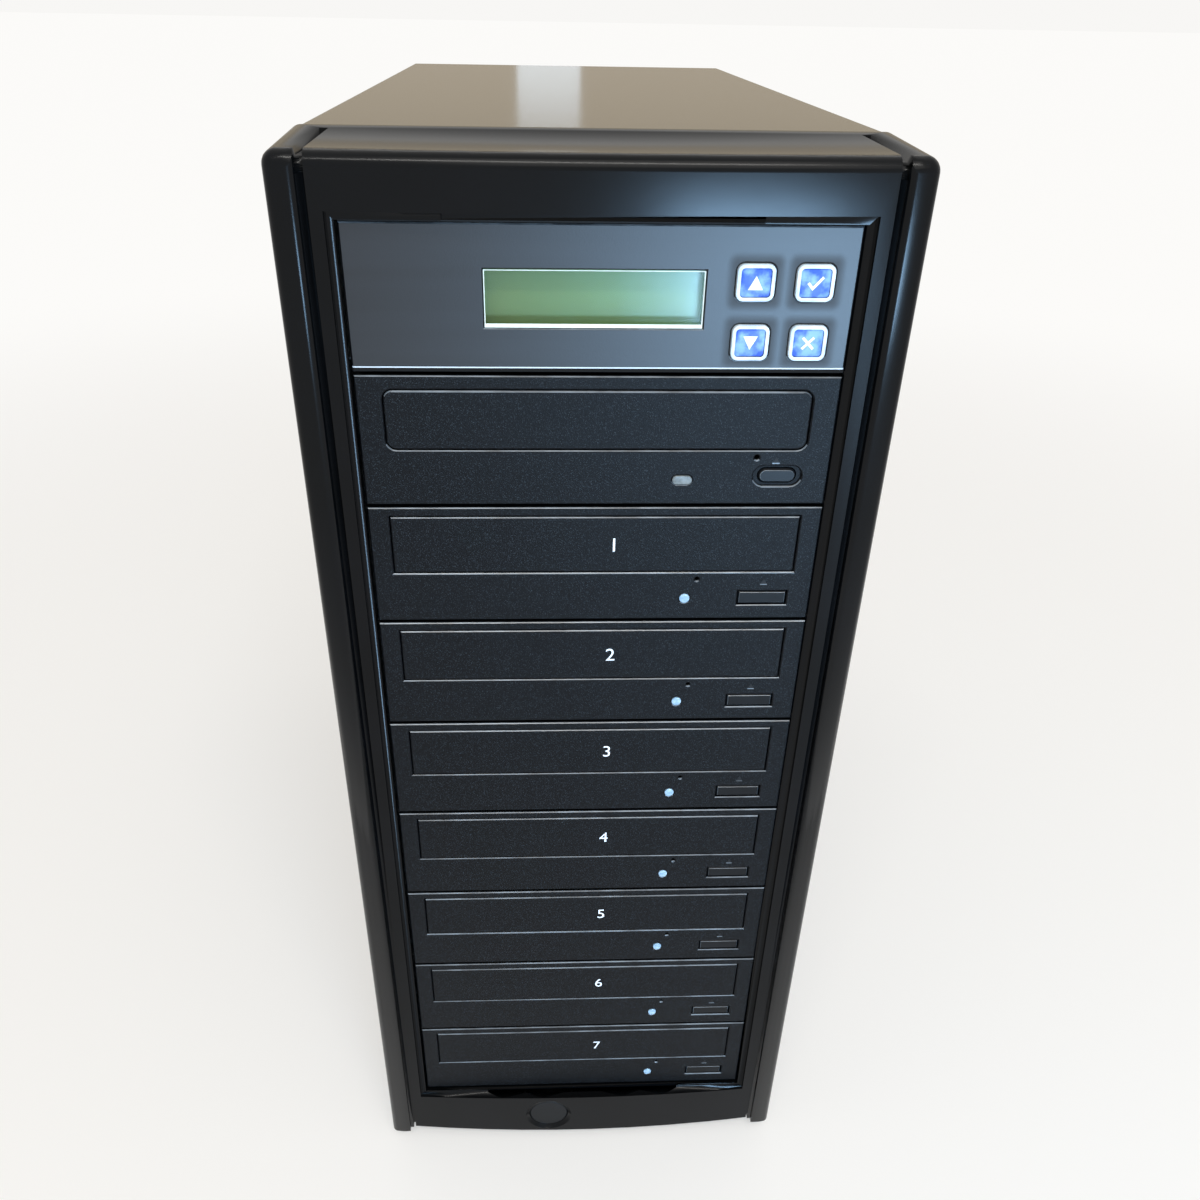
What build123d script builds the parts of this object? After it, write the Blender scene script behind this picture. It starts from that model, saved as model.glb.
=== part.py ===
"""Disc duplicator tower: one control unit and eight optical drives stacked in a steel case
behind a moulded front bezel, with a power supply and two fans at the back.

Millimetres. X is to the right seen from the front, Y to the back, Z up from the floor.
The origin is on the floor, under the middle of the outer box.
"""

import os

from build123d import *

# ---- Case and bezel ------------------------------------------------------------------------
case_depth = 418.0            # crown of the bezel to the cover's rear lips
case_margin = 20.0            # from the drives' front plates to the cover's sides
bezel_flare = 1.0             # the bezel's rear edge stands out past the cover
bezel_draft = 1.5             # and its front edge is set in from it, on each side
bezel_depth = 52.0            # side strips' face to the bezel's rear edge
bezel_wall = 3.2
bezel_proud = 2.5             # the strips stand this far in front of the drives
crown_rise = 3.0              # forward bulge of the panel between the strips
bezel_top_rise = 1.2          # the bezel's top climbs to its rear edge
strip_floor_gap = 6.0
panel_floor_gap = 10.0
panel_bow = 2.0               # the panel's bottom edge drops this much in the middle
bottom_panel_height = 25.7
top_panel_height = 17.5
groove_inset = 11.5           # centre of each long groove from the cover's side
groove_width = 2.8
groove_depth = 1.9
groove_end_gap = 8.0          # bare top left between a groove and the bezel's rear edge
rim_width = 2.4               # rebate round the bay opening
rim_depth = 1.1
collar_wall = 2.2
collar_depth = 12.0
corner_radius = 3.0
top_edge_radius = 4.2
strip_bulge = 0.7
opening_gap = 0.7             # round the stack of front plates
seam_gap = 0.3
sheet = 1.0                   # steel of case, cage and power supply
bend_radius = 3.0
slide_gap = 0.3               # between cover and chassis, drives and cage
flange = 12.0
lip_width = 10.0

small_sides = 8               # of small and hidden rounds

# ---- Feet ----------------------------------------------------------------------------------
foot_height = 12.0
foot_radius = 12.0
foot_draft = 1.5
foot_inset_side = 20.0
foot_inset_front = 17.0
foot_inset_back = 24.0
foot_recess_radius = 5.0
foot_recess_depth = 7.0

# ---- Bays ----------------------------------------------------------------------------------
face_overhang = 1.0           # front plates stand out past the drives' cases, on each side
face_height = 42.0
face_wall = 3.0
face_depth = 6.0
face_rim = 2.0
face_chamfer = 0.4
bay_gap = 1.2
drive_count = 8
fit_gap = 0.35                # round doors and buttons

# ---- Drive ---------------------------------------------------------------------------------
drive_width = 146.0
drive_height = 41.3
drive_depth = 165.0
drive_sheet = 0.8
door_thick = 3.0
burner_door = (134.0, 20.1)   # width, height
burner_door_bottom = 18.5     # above the front plate's lower edge
reader_door = (131.6, 18.7)
reader_door_bottom = 18.7
reader_door_radius = 3.0
tray_width = 129.0
tray_length = 155.0
tray_thick = 7.5
tray_bottom = 19.5
disc_radius = 60.0
disc_play = 0.75
disc_recess_depth = 2.2
small_disc_radius = 40.0
small_recess_depth = 1.6
tray_front_wall = 4.3
tray_slot_width = 44.0
tray_slot_length = 62.0
finger_notch_radius = 13.0
deck_floor = 2.0
deck_ledge = 5.0
deck_guide_height = 30.0
tray_side_gap = 0.5
running_gap = 0.3
turntable_radius = 14.0
motor_radius = 12.0
turntable_thick = 3.0
pickup_size = (40.0, 30.0, 9.0)
pickup_offset = 40.0          # behind the spindle
clamp_radius = 17.0
clamp_drop = 3.5

burner_button = (17.2, 5.5)   # opening width, height
burner_button_at = (57.6, 8.1)
burner_mark_at = (57.6, 14.5)
burner_led_radius = 1.65
burner_led_at = (30.8, 8.1)
burner_pinhole_radius = 0.65
burner_pinhole_at = (34.6, 15.5)
reader_button = (12.6, 5.2)
reader_button_at = (57.7, 9.7)
reader_mark_at = (56.8, 15.2)
reader_button_recess = (15.7, 6.9)
reader_recess_depth = 1.2
reader_led = (6.4, 3.0)
reader_led_at = (27.1, 8.4)
reader_pinhole_radius = 0.75
reader_pinhole_at = (50.5, 16.0)
mark_size = 2.3
mark_depth = 0.25
button_gap = 0.25
button_inset = 0.3
button_depth = 5.0
button_stem = 3.0
button_stem_length = 4.5
button_travel = 1.2
led_gap = 0.05
led_proud = 0.2
led_length = 8.0

# ---- Control unit --------------------------------------------------------------------------
plate_thick = 3.0
window_size = (64.0, 16.3)
window_at = (-2.2, 21.4)
window_thick = 1.5
window_inset = 0.3
window_gap = 0.1
key_size = (11.2, 10.5)
key_columns = (44.4, 61.8)
key_rows = (26.5, 9.2)        # upper, lower
key_corner = 2.2
key_gap = 0.15
key_proud = 0.9
key_depth = 2.5
key_dome = 0.6
key_travel = 0.5
tact_size = 6.0
tact_thick = 1.8
tact_plunger_radius = 1.75
tact_plunger_length = 1.0
board_thick = 1.6
key_board_size = (32.0, 34.0)
key_board_standoff = 3.0
boss_radius = 1.8
lcd_board_size = (80.0, 36.0)
lcd_board_standoff = 6.0
lcd_frame_size = (71.3, 26.8)
lcd_frame_wall = 1.2
lcd_frame_depth = 5.0
bracket_length = 148.0
board_size = (130.0, 108.0)
board_standoff = 6.0
board_inset = 34.0
cable_count = drive_count
board_foot_margin = 5.0
heat_sink = (28.0, 28.0, 12.0)
heat_sink_at = (-20.0, 44.0)  # from the board's front edge
fin_base = 3.0
fin_pitch = 4.5
fin_gap = 2.6
chip_size = (9.0, 16.0, 1.2)
chip_pitch = 12.0
chip_row_at = (12.5, 48.0)
chip_count = 4
can_radius = 4.0
can_height = 10.0
can_pitch = 14.0
can_row_at = (-50.0, 24.0)
can_count = 3
socket_width = 12.0
socket_pitch = 4.3
socket_depth = 8.0

# ---- Cage ----------------------------------------------------------------------------------
cage_depth = 150.0
cage_head = 8.0               # cage above the top bay
cage_flange = 10.0
cage_front_flange = 14.0
ledge_reach = 5.0
ledge_length = 16.0
ledge_places = (30.0, 115.0)
brace_hole = 30.0
brace_hole_pitch = 48.0

# ---- Power button --------------------------------------------------------------------------
power_radius = 9.1
power_gap = 0.2
power_at = (-16.3, 20.3)
power_ring_width = 1.6
power_ring_depth = 0.8
power_inset = 1.1
power_cap_depth = 6.0
power_stem_radius = 4.0
power_stem_length = 6.0
power_travel = 2.5
power_tube_wall = 1.8
power_tube_length = 10.0
power_switch_size = 24.0
power_switch_depth = 14.0
switch_gap = 0.3              # between a pressed stem and what it presses

# ---- Power supply --------------------------------------------------------------------------
psu_width = 150.0
psu_height = 86.0
psu_depth = 140.0
psu_window_margin = 4.0
psu_fan_at = (-26.0, 43.0)    # above the supply's own floor
psu_board_size = (132.0, 94.0)
psu_board_standoff = 6.0
psu_board_inset = 12.0
transformer = (28.0, 28.0, 34.0)
transformer_at = (0.0, 44.0)  # from the board's front edge
sink_plate = (4.0, 70.0, 44.0)
sink_plate_columns = (-32.0, 32.0)
psu_can_radius = 9.0
psu_can_height = 30.0
psu_can_places = ((-50.0, 30.0), (-50.0, 56.0))
psu_slot_length = 105.0
psu_slot_rows = 5
psu_slot_start = 20.0
psu_slot_pitch = 12.0
inlet_at = (45.0, 62.0)
inlet_flange = (31.0, 22.6)
inlet_body = (27.0, 19.6)
inlet_cavity = (24.4, 16.6)
inlet_depth = 20.0
inlet_cavity_depth = 16.0
flange_thick = 1.5
inlet_corner = 3.5            # cut off the cavity's two upper corners
pin_size = (2.0, 4.0, 13.0)
pin_spacing = 7.0
pin_lift = 4.0                # of the middle blade
rocker_at = (45.0, 28.0)
rocker_flange = (15.6, 21.6)
rocker_lip = 1.0
rocker_opening = (11.2, 17.6)
rocker_size = (10.4, 15.8)
rocker_back = 6.0             # behind the panel's face
rocker_front = 1.6            # tips in front of it
rocker_dip = 1.0              # hollow between the tips
rocker_taper = 0.55           # of the back's height to the front's
rocker_depth = 12.0
rocker_tilt = 8.0
rocker_pin_radius = 1.2
rocker_pin_depth = 1.0
pivot_gap = 0.05

# ---- Fans ----------------------------------------------------------------------------------
fan_size = 80.0
fan_thick = 25.0
fan_bore_radius = 38.5
fan_hole_spacing = 71.5
fan_hole_radius = 2.2
fan_corner = 4.0
hub_radius = 17.0
hub_wall = 2.0
hub_length = 18.0
hub_base_thick = 3.0
spoke_width = 4.0
bearing_radius = 4.5
bearing_length = 14.0
shaft_radius = 1.5
shaft_gap = 0.05
blade_count = 7
blade_tip_gap = 2.0
blade_chord = 21.0
blade_bulge = 3.0
blade_thick = 1.3
blade_pitch = 38.0
fan_heights = (170.0, 330.0)
vent_slot = 4.0
vent_pitch = 7.6
vent_radius = 37.0

# ---- Fasteners and cables ------------------------------------------------------------------
screw_radius = 1.5
screw_head_across = 5.6
screw_head = 2.0
screw_gap = 0.1
screw_length = 5.0
cover_screw_heights = (60.0, 230.0, 400.0)
cover_screw_columns = (-60.0, 60.0)
cable_width = 8.0
cable_thick = 1.2
cable_reach = 12.0
cable_step = 5.0
cable_bend = 5.0

# ---- Levels worked out from the sizes above --------------------------------------------------
face_width = drive_width + 2 * face_overhang
cover_width = face_width + 2 * case_margin
front_y = -(case_depth + screw_head) / 2
rear_y = front_y + case_depth
bezel_front_half = cover_width / 2 - bezel_draft
bezel_rear_half = cover_width / 2 + bezel_flare
groove_offset = cover_width / 2 - groove_inset
strip_y = front_y + crown_rise
face_y = strip_y + bezel_proud
seam_y = strip_y + bezel_depth
cover_front_y = seam_y + seam_gap
panel_y = rear_y - 2 * sheet              # inner face of the rear panel
bay_pitch = face_height + bay_gap
opening_bottom = panel_floor_gap + bottom_panel_height
stack_bottom = opening_bottom + opening_gap
stack_top = stack_bottom + drive_count * bay_pitch + face_height
opening_top = stack_top + opening_gap
bezel_top = opening_top + top_panel_height
cover_top = bezel_top + bezel_top_rise / 2
base_top = foot_height + sheet
chassis_half = cover_width / 2 - sheet - slide_gap
drive_y = face_y + face_depth             # front of the drives' metal cases
drive_foot = (face_height - drive_height) / 2
cage_inner = drive_width / 2 + slide_gap
cage_outer = cage_inner + sheet
cage_front_y = strip_y + bezel_wall + collar_depth + slide_gap
cage_top = stack_top + cage_head
hub_centre_y = door_thick + tray_front_wall + disc_radius + disc_play
tray_top = tray_bottom + tray_thick
psu_board_middle = panel_y - psu_depth + psu_board_inset + psu_board_size[1] / 2


def bay_z(bay):
    """Lower edge of the front plate in a bay; bay 0 is the control unit at the top."""
    return stack_top - face_height - bay * bay_pitch


def block(x, y, z):
    """A box between two values on each axis."""
    size = (x[1] - x[0], y[1] - y[0], z[1] - z[0])
    return Pos(x[0], y[0], z[0]) * Box(*size, align=(Align.MIN, Align.MIN, Align.MIN))


def along_y(outline, start, end):
    """Carries an outline drawn in X and Z from start to end along Y."""
    plane = Plane(origin=(0, start, 0), x_dir=(1, 0, 0), z_dir=(0, -1, 0))
    return extrude(plane * outline, end - start, dir=(0, 1, 0))


def along_x(outline, start, end):
    """Carries an outline drawn in Y and Z from start to end along X."""
    plane = Plane(origin=(start, 0, 0), x_dir=(0, 1, 0), z_dir=(1, 0, 0))
    return extrude(plane * outline, end - start)


def along_z(outline, start, end):
    """Carries an outline drawn in X and Y from start to end along Z."""
    return extrude(Pos(0, 0, start) * outline, end - start)


def turned_y(radius, start, end, x=0.0, z=0.0):
    """A round bar along Y."""
    return along_y(Pos(x, z) * Circle(radius), start, end)


def small_round(radius):
    """Outline of a small or hidden round, with few sides."""
    return RegularPolygon(radius, small_sides, major_radius=False)


def small_bar(radius, start, end, x=0.0, z=0.0):
    """A small round bar along Y."""
    return along_y(Pos(x, z) * small_round(radius), start, end)


def outline(*points):
    """A closed face with straight sides."""
    return make_face(Polyline(*points, close=True))


def pill(size):
    """A slot outline with round ends."""
    return SlotOverall(*size)


def inset(size, gap):
    """A width and height reduced by a gap all round."""
    return (size[0] - 2 * gap, size[1] - 2 * gap)


# ---- Bezel ---------------------------------------------------------------------------------
def bezel_plan(shift, rear):
    """The bezel seen from above, its skin moved inwards by shift: a crowned panel between
    two slightly convex strips, and sides that widen to the back."""
    front_half = bezel_front_half - shift
    rear_half = bezel_rear_half - shift
    strip = strip_y + shift
    crown = Edge.make_three_point_arc(
        (-groove_offset, strip), (0, front_y + shift), (groove_offset, strip)
    )
    middle = (groove_offset + front_half) / 2
    edges = [crown]
    for side in (-1, 1):
        edges.append(
            Edge.make_three_point_arc(
                (side * groove_offset, strip),
                (side * middle, strip - strip_bulge / 3),
                (side * front_half, strip + strip_bulge),
            )
        )
        edges.append(
            Edge.make_line((side * front_half, strip + strip_bulge), (side * rear_half, rear))
        )
    edges.append(Edge.make_line((-rear_half, rear), (rear_half, rear)))
    return make_face(edges)


def bezel_top_profile(drop, back):
    """The strips' top seen from the side, sunk by drop, as the space above it."""
    radius = top_edge_radius
    top = bezel_top - drop
    nose = strip_y + drop
    above = bezel_top + 20
    curve = Edge.make_three_point_arc(
        (nose, top - radius),
        (nose + radius * 0.293, top - radius * 0.293),
        (nose + radius, top),
    )
    lines = Polyline(
        (nose + radius, top),
        (back, top + bezel_top_rise * (back - front_y) / (seam_y - front_y)),
        (back, above),
        (front_y - 20, above),
        (front_y - 20, strip_floor_gap - 5),
        (nose, strip_floor_gap - 5),
        (nose, top - radius),
    )
    return make_face([curve] + lines.edges())


def rounded_top(body, left, right):
    """The stretch of the bezel between two X values, with its top front edge rounded."""
    part = body & block((left, right), (front_y - 5, seam_y + 1), (0, bezel_top + 9))
    top = part.faces().sort_by(Axis.Z)[-1]
    ends = (left, right, -left, -right)
    outer = [
        e
        for e in top.edges()
        if e.center().Y < seam_y - 0.1 and all(abs(e.center().X - x) > 0.01 for x in ends)
    ]
    return fillet(outer, top_edge_radius)


def groove_tool(side):
    """What a long groove removes: down the face and back along the top."""
    skin = bezel_top_profile(groove_depth, seam_y - groove_end_gap)
    centre = side * groove_offset
    top = along_x(skin, centre - groove_width / 2, centre + groove_width / 2)
    face = block(
        (centre - groove_width / 2, centre + groove_width / 2),
        (front_y - 5, strip_y + groove_depth),
        (0, bezel_top - top_edge_radius),
    )
    return top + face


def front_bezel():
    """Moulded front: crowned, grooved, open for the bays, with a button hole below them."""
    top_rear = bezel_top + bezel_top_rise
    body = along_z(bezel_plan(0, seam_y), strip_floor_gap, top_rear)
    uprights = body.edges().filter_by(Axis.Z).filter_by_position(
        Axis.Y, front_y, strip_y + corner_radius
    )
    corners = [e for e in uprights if abs(e.center().X) > groove_offset + 1]
    body = fillet(corners, corner_radius)
    slope = along_x(
        outline(
            (front_y, bezel_top + 9),
            (front_y, bezel_top),
            (seam_y, top_rear),
            (seam_y, bezel_top + 9),
        ),
        -cover_width,
        cover_width,
    )
    body -= slope
    stretches = ((-cover_width, -groove_offset), (-groove_offset, groove_offset))
    tops = [rounded_top(body, *stretch) for stretch in stretches]
    body = tops[0] + tops[1] + rounded_top(body, groove_offset, cover_width)

    body -= along_z(
        bezel_plan(bezel_wall, seam_y + 1), base_top - slide_gap, bezel_top - bezel_wall
    )
    under = [
        Edge.make_three_point_arc(
            (-groove_offset, panel_floor_gap),
            (0, panel_floor_gap - panel_bow),
            (groove_offset, panel_floor_gap),
        )
    ] + Polyline(
        (groove_offset, panel_floor_gap),
        (groove_offset, 0),
        (-groove_offset, 0),
        (-groove_offset, panel_floor_gap),
    ).edges()
    body -= along_y(make_face(under), front_y - 5, seam_y + 5)
    for side in (-1, 1):
        body -= groove_tool(side)

    half = face_width / 2 + opening_gap
    middle = (opening_bottom + opening_top) / 2
    height = opening_top - opening_bottom
    wall_back = strip_y + bezel_wall
    collar = Pos(0, middle) * Rectangle(2 * (half + collar_wall), height + 2 * collar_wall)
    body += along_y(collar, wall_back - 1, wall_back + collar_depth)
    body -= along_y(
        Pos(0, middle) * Rectangle(2 * half, height), front_y - 5, wall_back + collar_depth + 1
    )
    rebate = Pos(0, middle) * Rectangle(2 * (half + rim_width), height + 2 * rim_width)
    body -= along_y(rebate, front_y - 5, strip_y + rim_depth)

    x, z = power_at
    hole = power_radius + power_gap
    tube_end = front_y + bezel_wall + power_tube_length
    body += turned_y(hole + power_tube_wall, front_y + bezel_wall / 2, tube_end, x, z)
    body -= turned_y(hole, front_y - 5, tube_end + 1, x, z)
    body -= turned_y(hole + power_ring_width, front_y - 5, front_y + power_ring_depth, x, z)
    return body


def power_button():
    """Round cap with its stem, pushed straight back."""
    x, z = power_at
    start = front_y + power_inset
    cap = turned_y(power_radius, start, start + power_cap_depth, x, z)
    cap = chamfer(cap.faces().sort_by(Axis.Y)[0].edges(), 0.5)
    end = start + power_cap_depth
    return cap + turned_y(power_stem_radius, end, end + power_stem_length, x, z)


def power_switch():
    """Latching switch on the end of the button's guide tube, hollow where the stem goes in."""
    x, z = power_at
    start = front_y + bezel_wall + power_tube_length
    half = power_switch_size / 2
    height = (base_top + slide_gap, z + half)
    body = block((x - half, x + half), (start, start + power_switch_depth), height)
    stem_end = front_y + power_inset + power_cap_depth + power_stem_length
    pocket = stem_end + power_travel + switch_gap
    return body - turned_y(power_stem_radius + switch_gap, start - 1, pocket, x, z)


# ---- Sheet metal ---------------------------------------------------------------------------
def case_cover():
    """Top and both sides in one folded sheet, with lips turned in over the rear panel."""
    half = cover_width / 2
    shell = Pos(0, (foot_height + cover_top) / 2) * Rectangle(cover_width, cover_top - foot_height)
    body = along_y(shell, cover_front_y, rear_y)
    top_edges = [e for e in body.edges().filter_by(Axis.Y) if e.center().Z > cover_top - 1]
    body = fillet(top_edges, bend_radius)
    inner = Pos(0, (foot_height + cover_top - sheet) / 2 - 1) * Rectangle(
        2 * (half - sheet), cover_top - sheet - foot_height + 2
    )
    room = along_y(inner, cover_front_y - 1, rear_y - sheet)
    room_edges = [e for e in room.edges().filter_by(Axis.Y) if e.center().Z > cover_top - 2]
    body -= fillet(room_edges, bend_radius - sheet)
    lip = half - sheet - lip_width
    mouth = Pos(0, (cover_top - sheet - lip_width) / 2) * Rectangle(
        2 * lip, cover_top - sheet - lip_width
    )
    body -= along_y(mouth, rear_y - 2 * sheet, rear_y + 1)
    for x, z in cover_screws():
        body -= small_bar(screw_radius + screw_gap, rear_y - 2 * sheet, rear_y + 1, x, z)
    return body


def cover_screws():
    """Where the screws go through the cover's rear lips."""
    side = cover_width / 2 - sheet - lip_width / 2
    places = [(s * side, z) for s in (-1, 1) for z in cover_screw_heights]
    return places + [(x, cover_top - sheet - lip_width / 2) for x in cover_screw_columns]


def chassis_base():
    """Floor sheet with upturned sides."""
    depth = (cover_front_y, rear_y - sheet)
    floor = block((-chassis_half, chassis_half), depth, (foot_height, base_top))
    for side in (-1, 1):
        edge = sorted((side * chassis_half, side * (chassis_half - sheet)))
        floor += block(edge, (cover_front_y, panel_y), (base_top, base_top + flange))
    return floor


def vent(radius):
    """Straight slots that fill a circle."""
    rows = int(radius // vent_pitch)
    slots = Sketch()
    for row in range(-rows, rows + 1):
        height = row * vent_pitch
        length = 2 * (radius**2 - height**2) ** 0.5
        if length > 3 * vent_slot:
            slots += Pos(0, height) * Rectangle(length, vent_slot)
    return slots


def fan_holes(x, z):
    """Centres of a fan's four corner holes."""
    reach = fan_hole_spacing / 2
    return [(x + i * reach, z + k * reach) for i in (-1, 1) for k in (-1, 1)]


def psu_holes():
    """Centres of the power supply's screws."""
    low = base_top + psu_window_margin + 2
    high = base_top + psu_height - psu_window_margin - 2
    side = psu_width / 2 - 6
    return [(s * side, z) for s in (-1, 1) for z in (low, high)]


def rear_panel():
    """Rear sheet with fan vents, the power supply's window and two forward flanges."""
    top = cover_top - sheet - slide_gap
    sheet_y = (panel_y, panel_y + sheet)
    panel = block((-chassis_half, chassis_half), sheet_y, (base_top, top))
    corners = [e for e in panel.edges().filter_by(Axis.Y) if e.center().Z > top - 1]
    panel = fillet(corners, bend_radius)
    for side in (-1, 1):
        edge = sorted((side * chassis_half, side * (chassis_half - sheet)))
        panel += block(edge, (panel_y - flange, panel_y), (base_top + flange + slide_gap, top - 5))
    tool = (panel_y - 1, panel_y + sheet + 1)
    for height in fan_heights:
        panel -= along_y(Pos(0, height) * vent(vent_radius), *tool)
        for x, z in fan_holes(0, height):
            panel -= small_bar(screw_radius + screw_gap, *tool, x, z)
    window = inset((psu_width, psu_height), 3 * psu_window_margin)
    panel -= along_y(Pos(0, base_top + psu_height / 2) * Rectangle(*window), *tool)
    for x, z in cover_screws() + psu_holes():
        panel -= small_bar(screw_radius + screw_gap, *tool, x, z)
    return panel


def cage_side(side):
    """One wall of the drive cage: folded flanges, and two ledges under every drive."""
    wall = (cage_inner, cage_outer)
    depth = (cage_front_y, cage_front_y + cage_depth)
    body = block(wall, depth, (base_top, cage_top))
    body += block(
        (cage_outer, cage_outer + cage_front_flange),
        (cage_front_y, cage_front_y + sheet),
        (opening_bottom, cage_top),
    )
    out = (cage_outer, cage_outer + cage_flange)
    body += block(out, (cover_front_y + 5, depth[1]), (base_top, base_top + sheet))
    body += block(out, depth, (cage_top - sheet, cage_top))
    inward = (cage_inner - ledge_reach, cage_inner)
    for bay in range(drive_count + 1):
        top = bay_z(bay) + drive_foot - slide_gap
        for place in ledge_places:
            start = cage_front_y + place
            body += block(inward, (start, start + ledge_length), (top - sheet, top))
    return body if side > 0 else mirror(body, about=Plane.YZ)


def cage_brace():
    """Plate that ties both cage walls together at the top."""
    half = cage_outer + cage_flange
    depth = (cage_front_y, cage_front_y + cage_depth)
    plate = block((-half, half), depth, (cage_top, cage_top + sheet))
    for x in (-brace_hole_pitch, 0, brace_hole_pitch):
        for y in (-brace_hole_pitch / 2, brace_hole_pitch / 2):
            hole = Pos(x, (depth[0] + depth[1]) / 2 + y) * Rectangle(brace_hole, brace_hole)
            plate -= along_z(hole, cage_top - 1, cage_top + sheet + 1)
    return plate


def feet():
    """Four rubber feet with a chamfered rim and a screw recess underneath."""
    section = outline(
        (0, 0),
        (foot_radius - foot_draft, 0),
        (foot_radius, foot_draft),
        (foot_radius, foot_height),
        (0, foot_height),
    )
    foot = revolve(Plane.XZ * section, Axis.Z)
    foot -= along_z(small_round(foot_recess_radius), -1, foot_recess_depth)
    x = chassis_half - foot_inset_side
    places = [(cover_front_y + foot_inset_front), (rear_y - foot_inset_back)]
    return [Pos(s * x, y, 0) * foot for s in (-1, 1) for y in places]


# ---- Drive, drawn with its front plate's face at Y 0 and lower edge at Z 0 --------------------
def front_plate():
    """Moulded front plate: a wall with a rim behind it."""
    plate = along_y(Pos(0, face_height / 2) * Rectangle(face_width, face_height), 0, face_depth)
    hollow = Pos(0, face_height / 2) * Rectangle(*inset((face_width, face_height), face_rim))
    return plate - along_y(hollow, face_wall, face_depth + 1)


def softened(plate):
    """Breaks every edge of the front face."""
    return chamfer(plate.faces().sort_by(Axis.Y)[0].edges(), face_chamfer)


def eject_mark(place):
    """Small sunk triangle above an eject button."""
    x, z = place
    half = mark_size / 2
    triangle = outline((x - half, z - half * 0.8), (x + half, z - half * 0.8), (x, z + half * 0.8))
    return along_y(triangle, -1, mark_depth)


def burner_plate():
    """Front plate with a square door opening."""
    plate = front_plate()
    size = inset(burner_door, -fit_gap)
    middle = burner_door_bottom + burner_door[1] / 2
    plate -= along_y(Pos(0, middle) * Rectangle(*size), -1, face_wall + 1)
    plate -= along_y(Pos(*burner_button_at) * Rectangle(*burner_button), -1, face_wall + 1)
    plate -= small_bar(burner_led_radius, -1, face_wall + 1, *burner_led_at)
    plate -= small_bar(burner_pinhole_radius, -1, face_wall + 1, *burner_pinhole_at)
    return softened(plate) - eject_mark(burner_mark_at)


def reader_plate():
    """Front plate with a round-cornered door opening and a recessed button."""
    plate = front_plate()
    size = inset(reader_door, -fit_gap)
    middle = reader_door_bottom + reader_door[1] / 2
    opening = RectangleRounded(*size, reader_door_radius + fit_gap)
    plate -= along_y(Pos(0, middle) * opening, -1, face_wall + 1)
    plate -= along_y(Pos(*reader_button_at) * pill(reader_button_recess), -1, reader_recess_depth)
    plate -= along_y(Pos(*reader_button_at) * pill(reader_button), -1, face_wall + 1)
    plate -= along_y(Pos(*reader_led_at) * pill(reader_led), -1, face_wall + 1)
    plate -= small_bar(reader_pinhole_radius, -1, face_wall + 1, *reader_pinhole_at)
    return softened(plate) - eject_mark(reader_mark_at)


def door(size, bottom, radius):
    """The tray's front, flush with the front plate."""
    shape = RectangleRounded(*size, radius) if radius else Rectangle(*size)
    return softened(along_y(Pos(0, bottom + size[1] / 2) * shape, 0, door_thick))


def tray():
    """Disc tray: stepped recesses for large and small discs, and a slot for the spindle."""
    half = tray_width / 2
    back = door_thick + tray_length
    body = block((-half, half), (door_thick, back), (tray_bottom, tray_top))
    seat = tray_top - disc_recess_depth
    inner = seat - small_recess_depth
    centre = Pos(0, hub_centre_y)
    body -= along_z(centre * Circle(disc_radius + disc_play), seat, tray_top + 1)
    body -= along_z(centre * Circle(small_disc_radius + disc_play), inner, tray_top + 1)
    slot = centre * Circle(tray_slot_width / 2)
    run = Rectangle(tray_slot_width, tray_slot_length)
    slot += Pos(0, hub_centre_y + tray_slot_length / 2) * run
    body -= along_z(slot, tray_bottom - 1, tray_top + 1)
    for side in (-1, 1):
        notch = Pos(side * half, hub_centre_y) * Circle(finger_notch_radius)
        body -= along_z(notch, seat, tray_top + 1)
    return body


def eject_button(shape, place):
    """Cap in the front plate's opening, with a stem to the switch behind it."""
    x, z = place
    end = button_inset + button_depth
    cap = softened(along_y(Pos(x, z) * shape, button_inset, end))
    stem = Pos(x, z) * Rectangle(button_stem, button_stem)
    return cap + along_y(stem, end, end + button_stem_length)


def drive_pan():
    """Lower case: floor, sides and rear wall of thin sheet."""
    half = drive_width / 2
    depth = (face_depth, face_depth + drive_depth)
    top = drive_foot + drive_height - drive_sheet
    body = block((-half, half), depth, (drive_foot, top))
    inner_half = half - drive_sheet
    return body - block(
        (-inner_half, inner_half),
        (face_depth - 1, depth[1] - drive_sheet),
        (drive_foot + drive_sheet, top + 1),
    )


def drive_lid():
    """Flat lid with the disc clamp's round seat under it."""
    half = drive_width / 2
    top = drive_foot + drive_height
    under = top - drive_sheet
    lid = block((-half, half), (face_depth, face_depth + drive_depth), (under, top))
    clamp = Pos(0, hub_centre_y) * small_round(clamp_radius)
    return lid + along_z(clamp, under - clamp_drop, under)


def drive_deck():
    """Moulded loader frame that carries the tray between two guides."""
    floor = drive_foot + drive_sheet
    half = drive_width / 2 - drive_sheet - running_gap
    guide = tray_width / 2 + tray_side_gap
    ledge = tray_bottom - running_gap
    inner = guide - deck_ledge
    level = floor + deck_floor
    profile = outline(
        (-half, floor),
        (half, floor),
        (half, deck_guide_height),
        (guide, deck_guide_height),
        (guide, ledge),
        (inner, ledge),
        (inner, level),
        (-inner, level),
        (-inner, ledge),
        (-guide, ledge),
        (-guide, deck_guide_height),
        (-half, deck_guide_height),
    )
    start = face_depth + 2
    return along_y(profile, start, face_depth + drive_depth - drive_sheet - 1)


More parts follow.
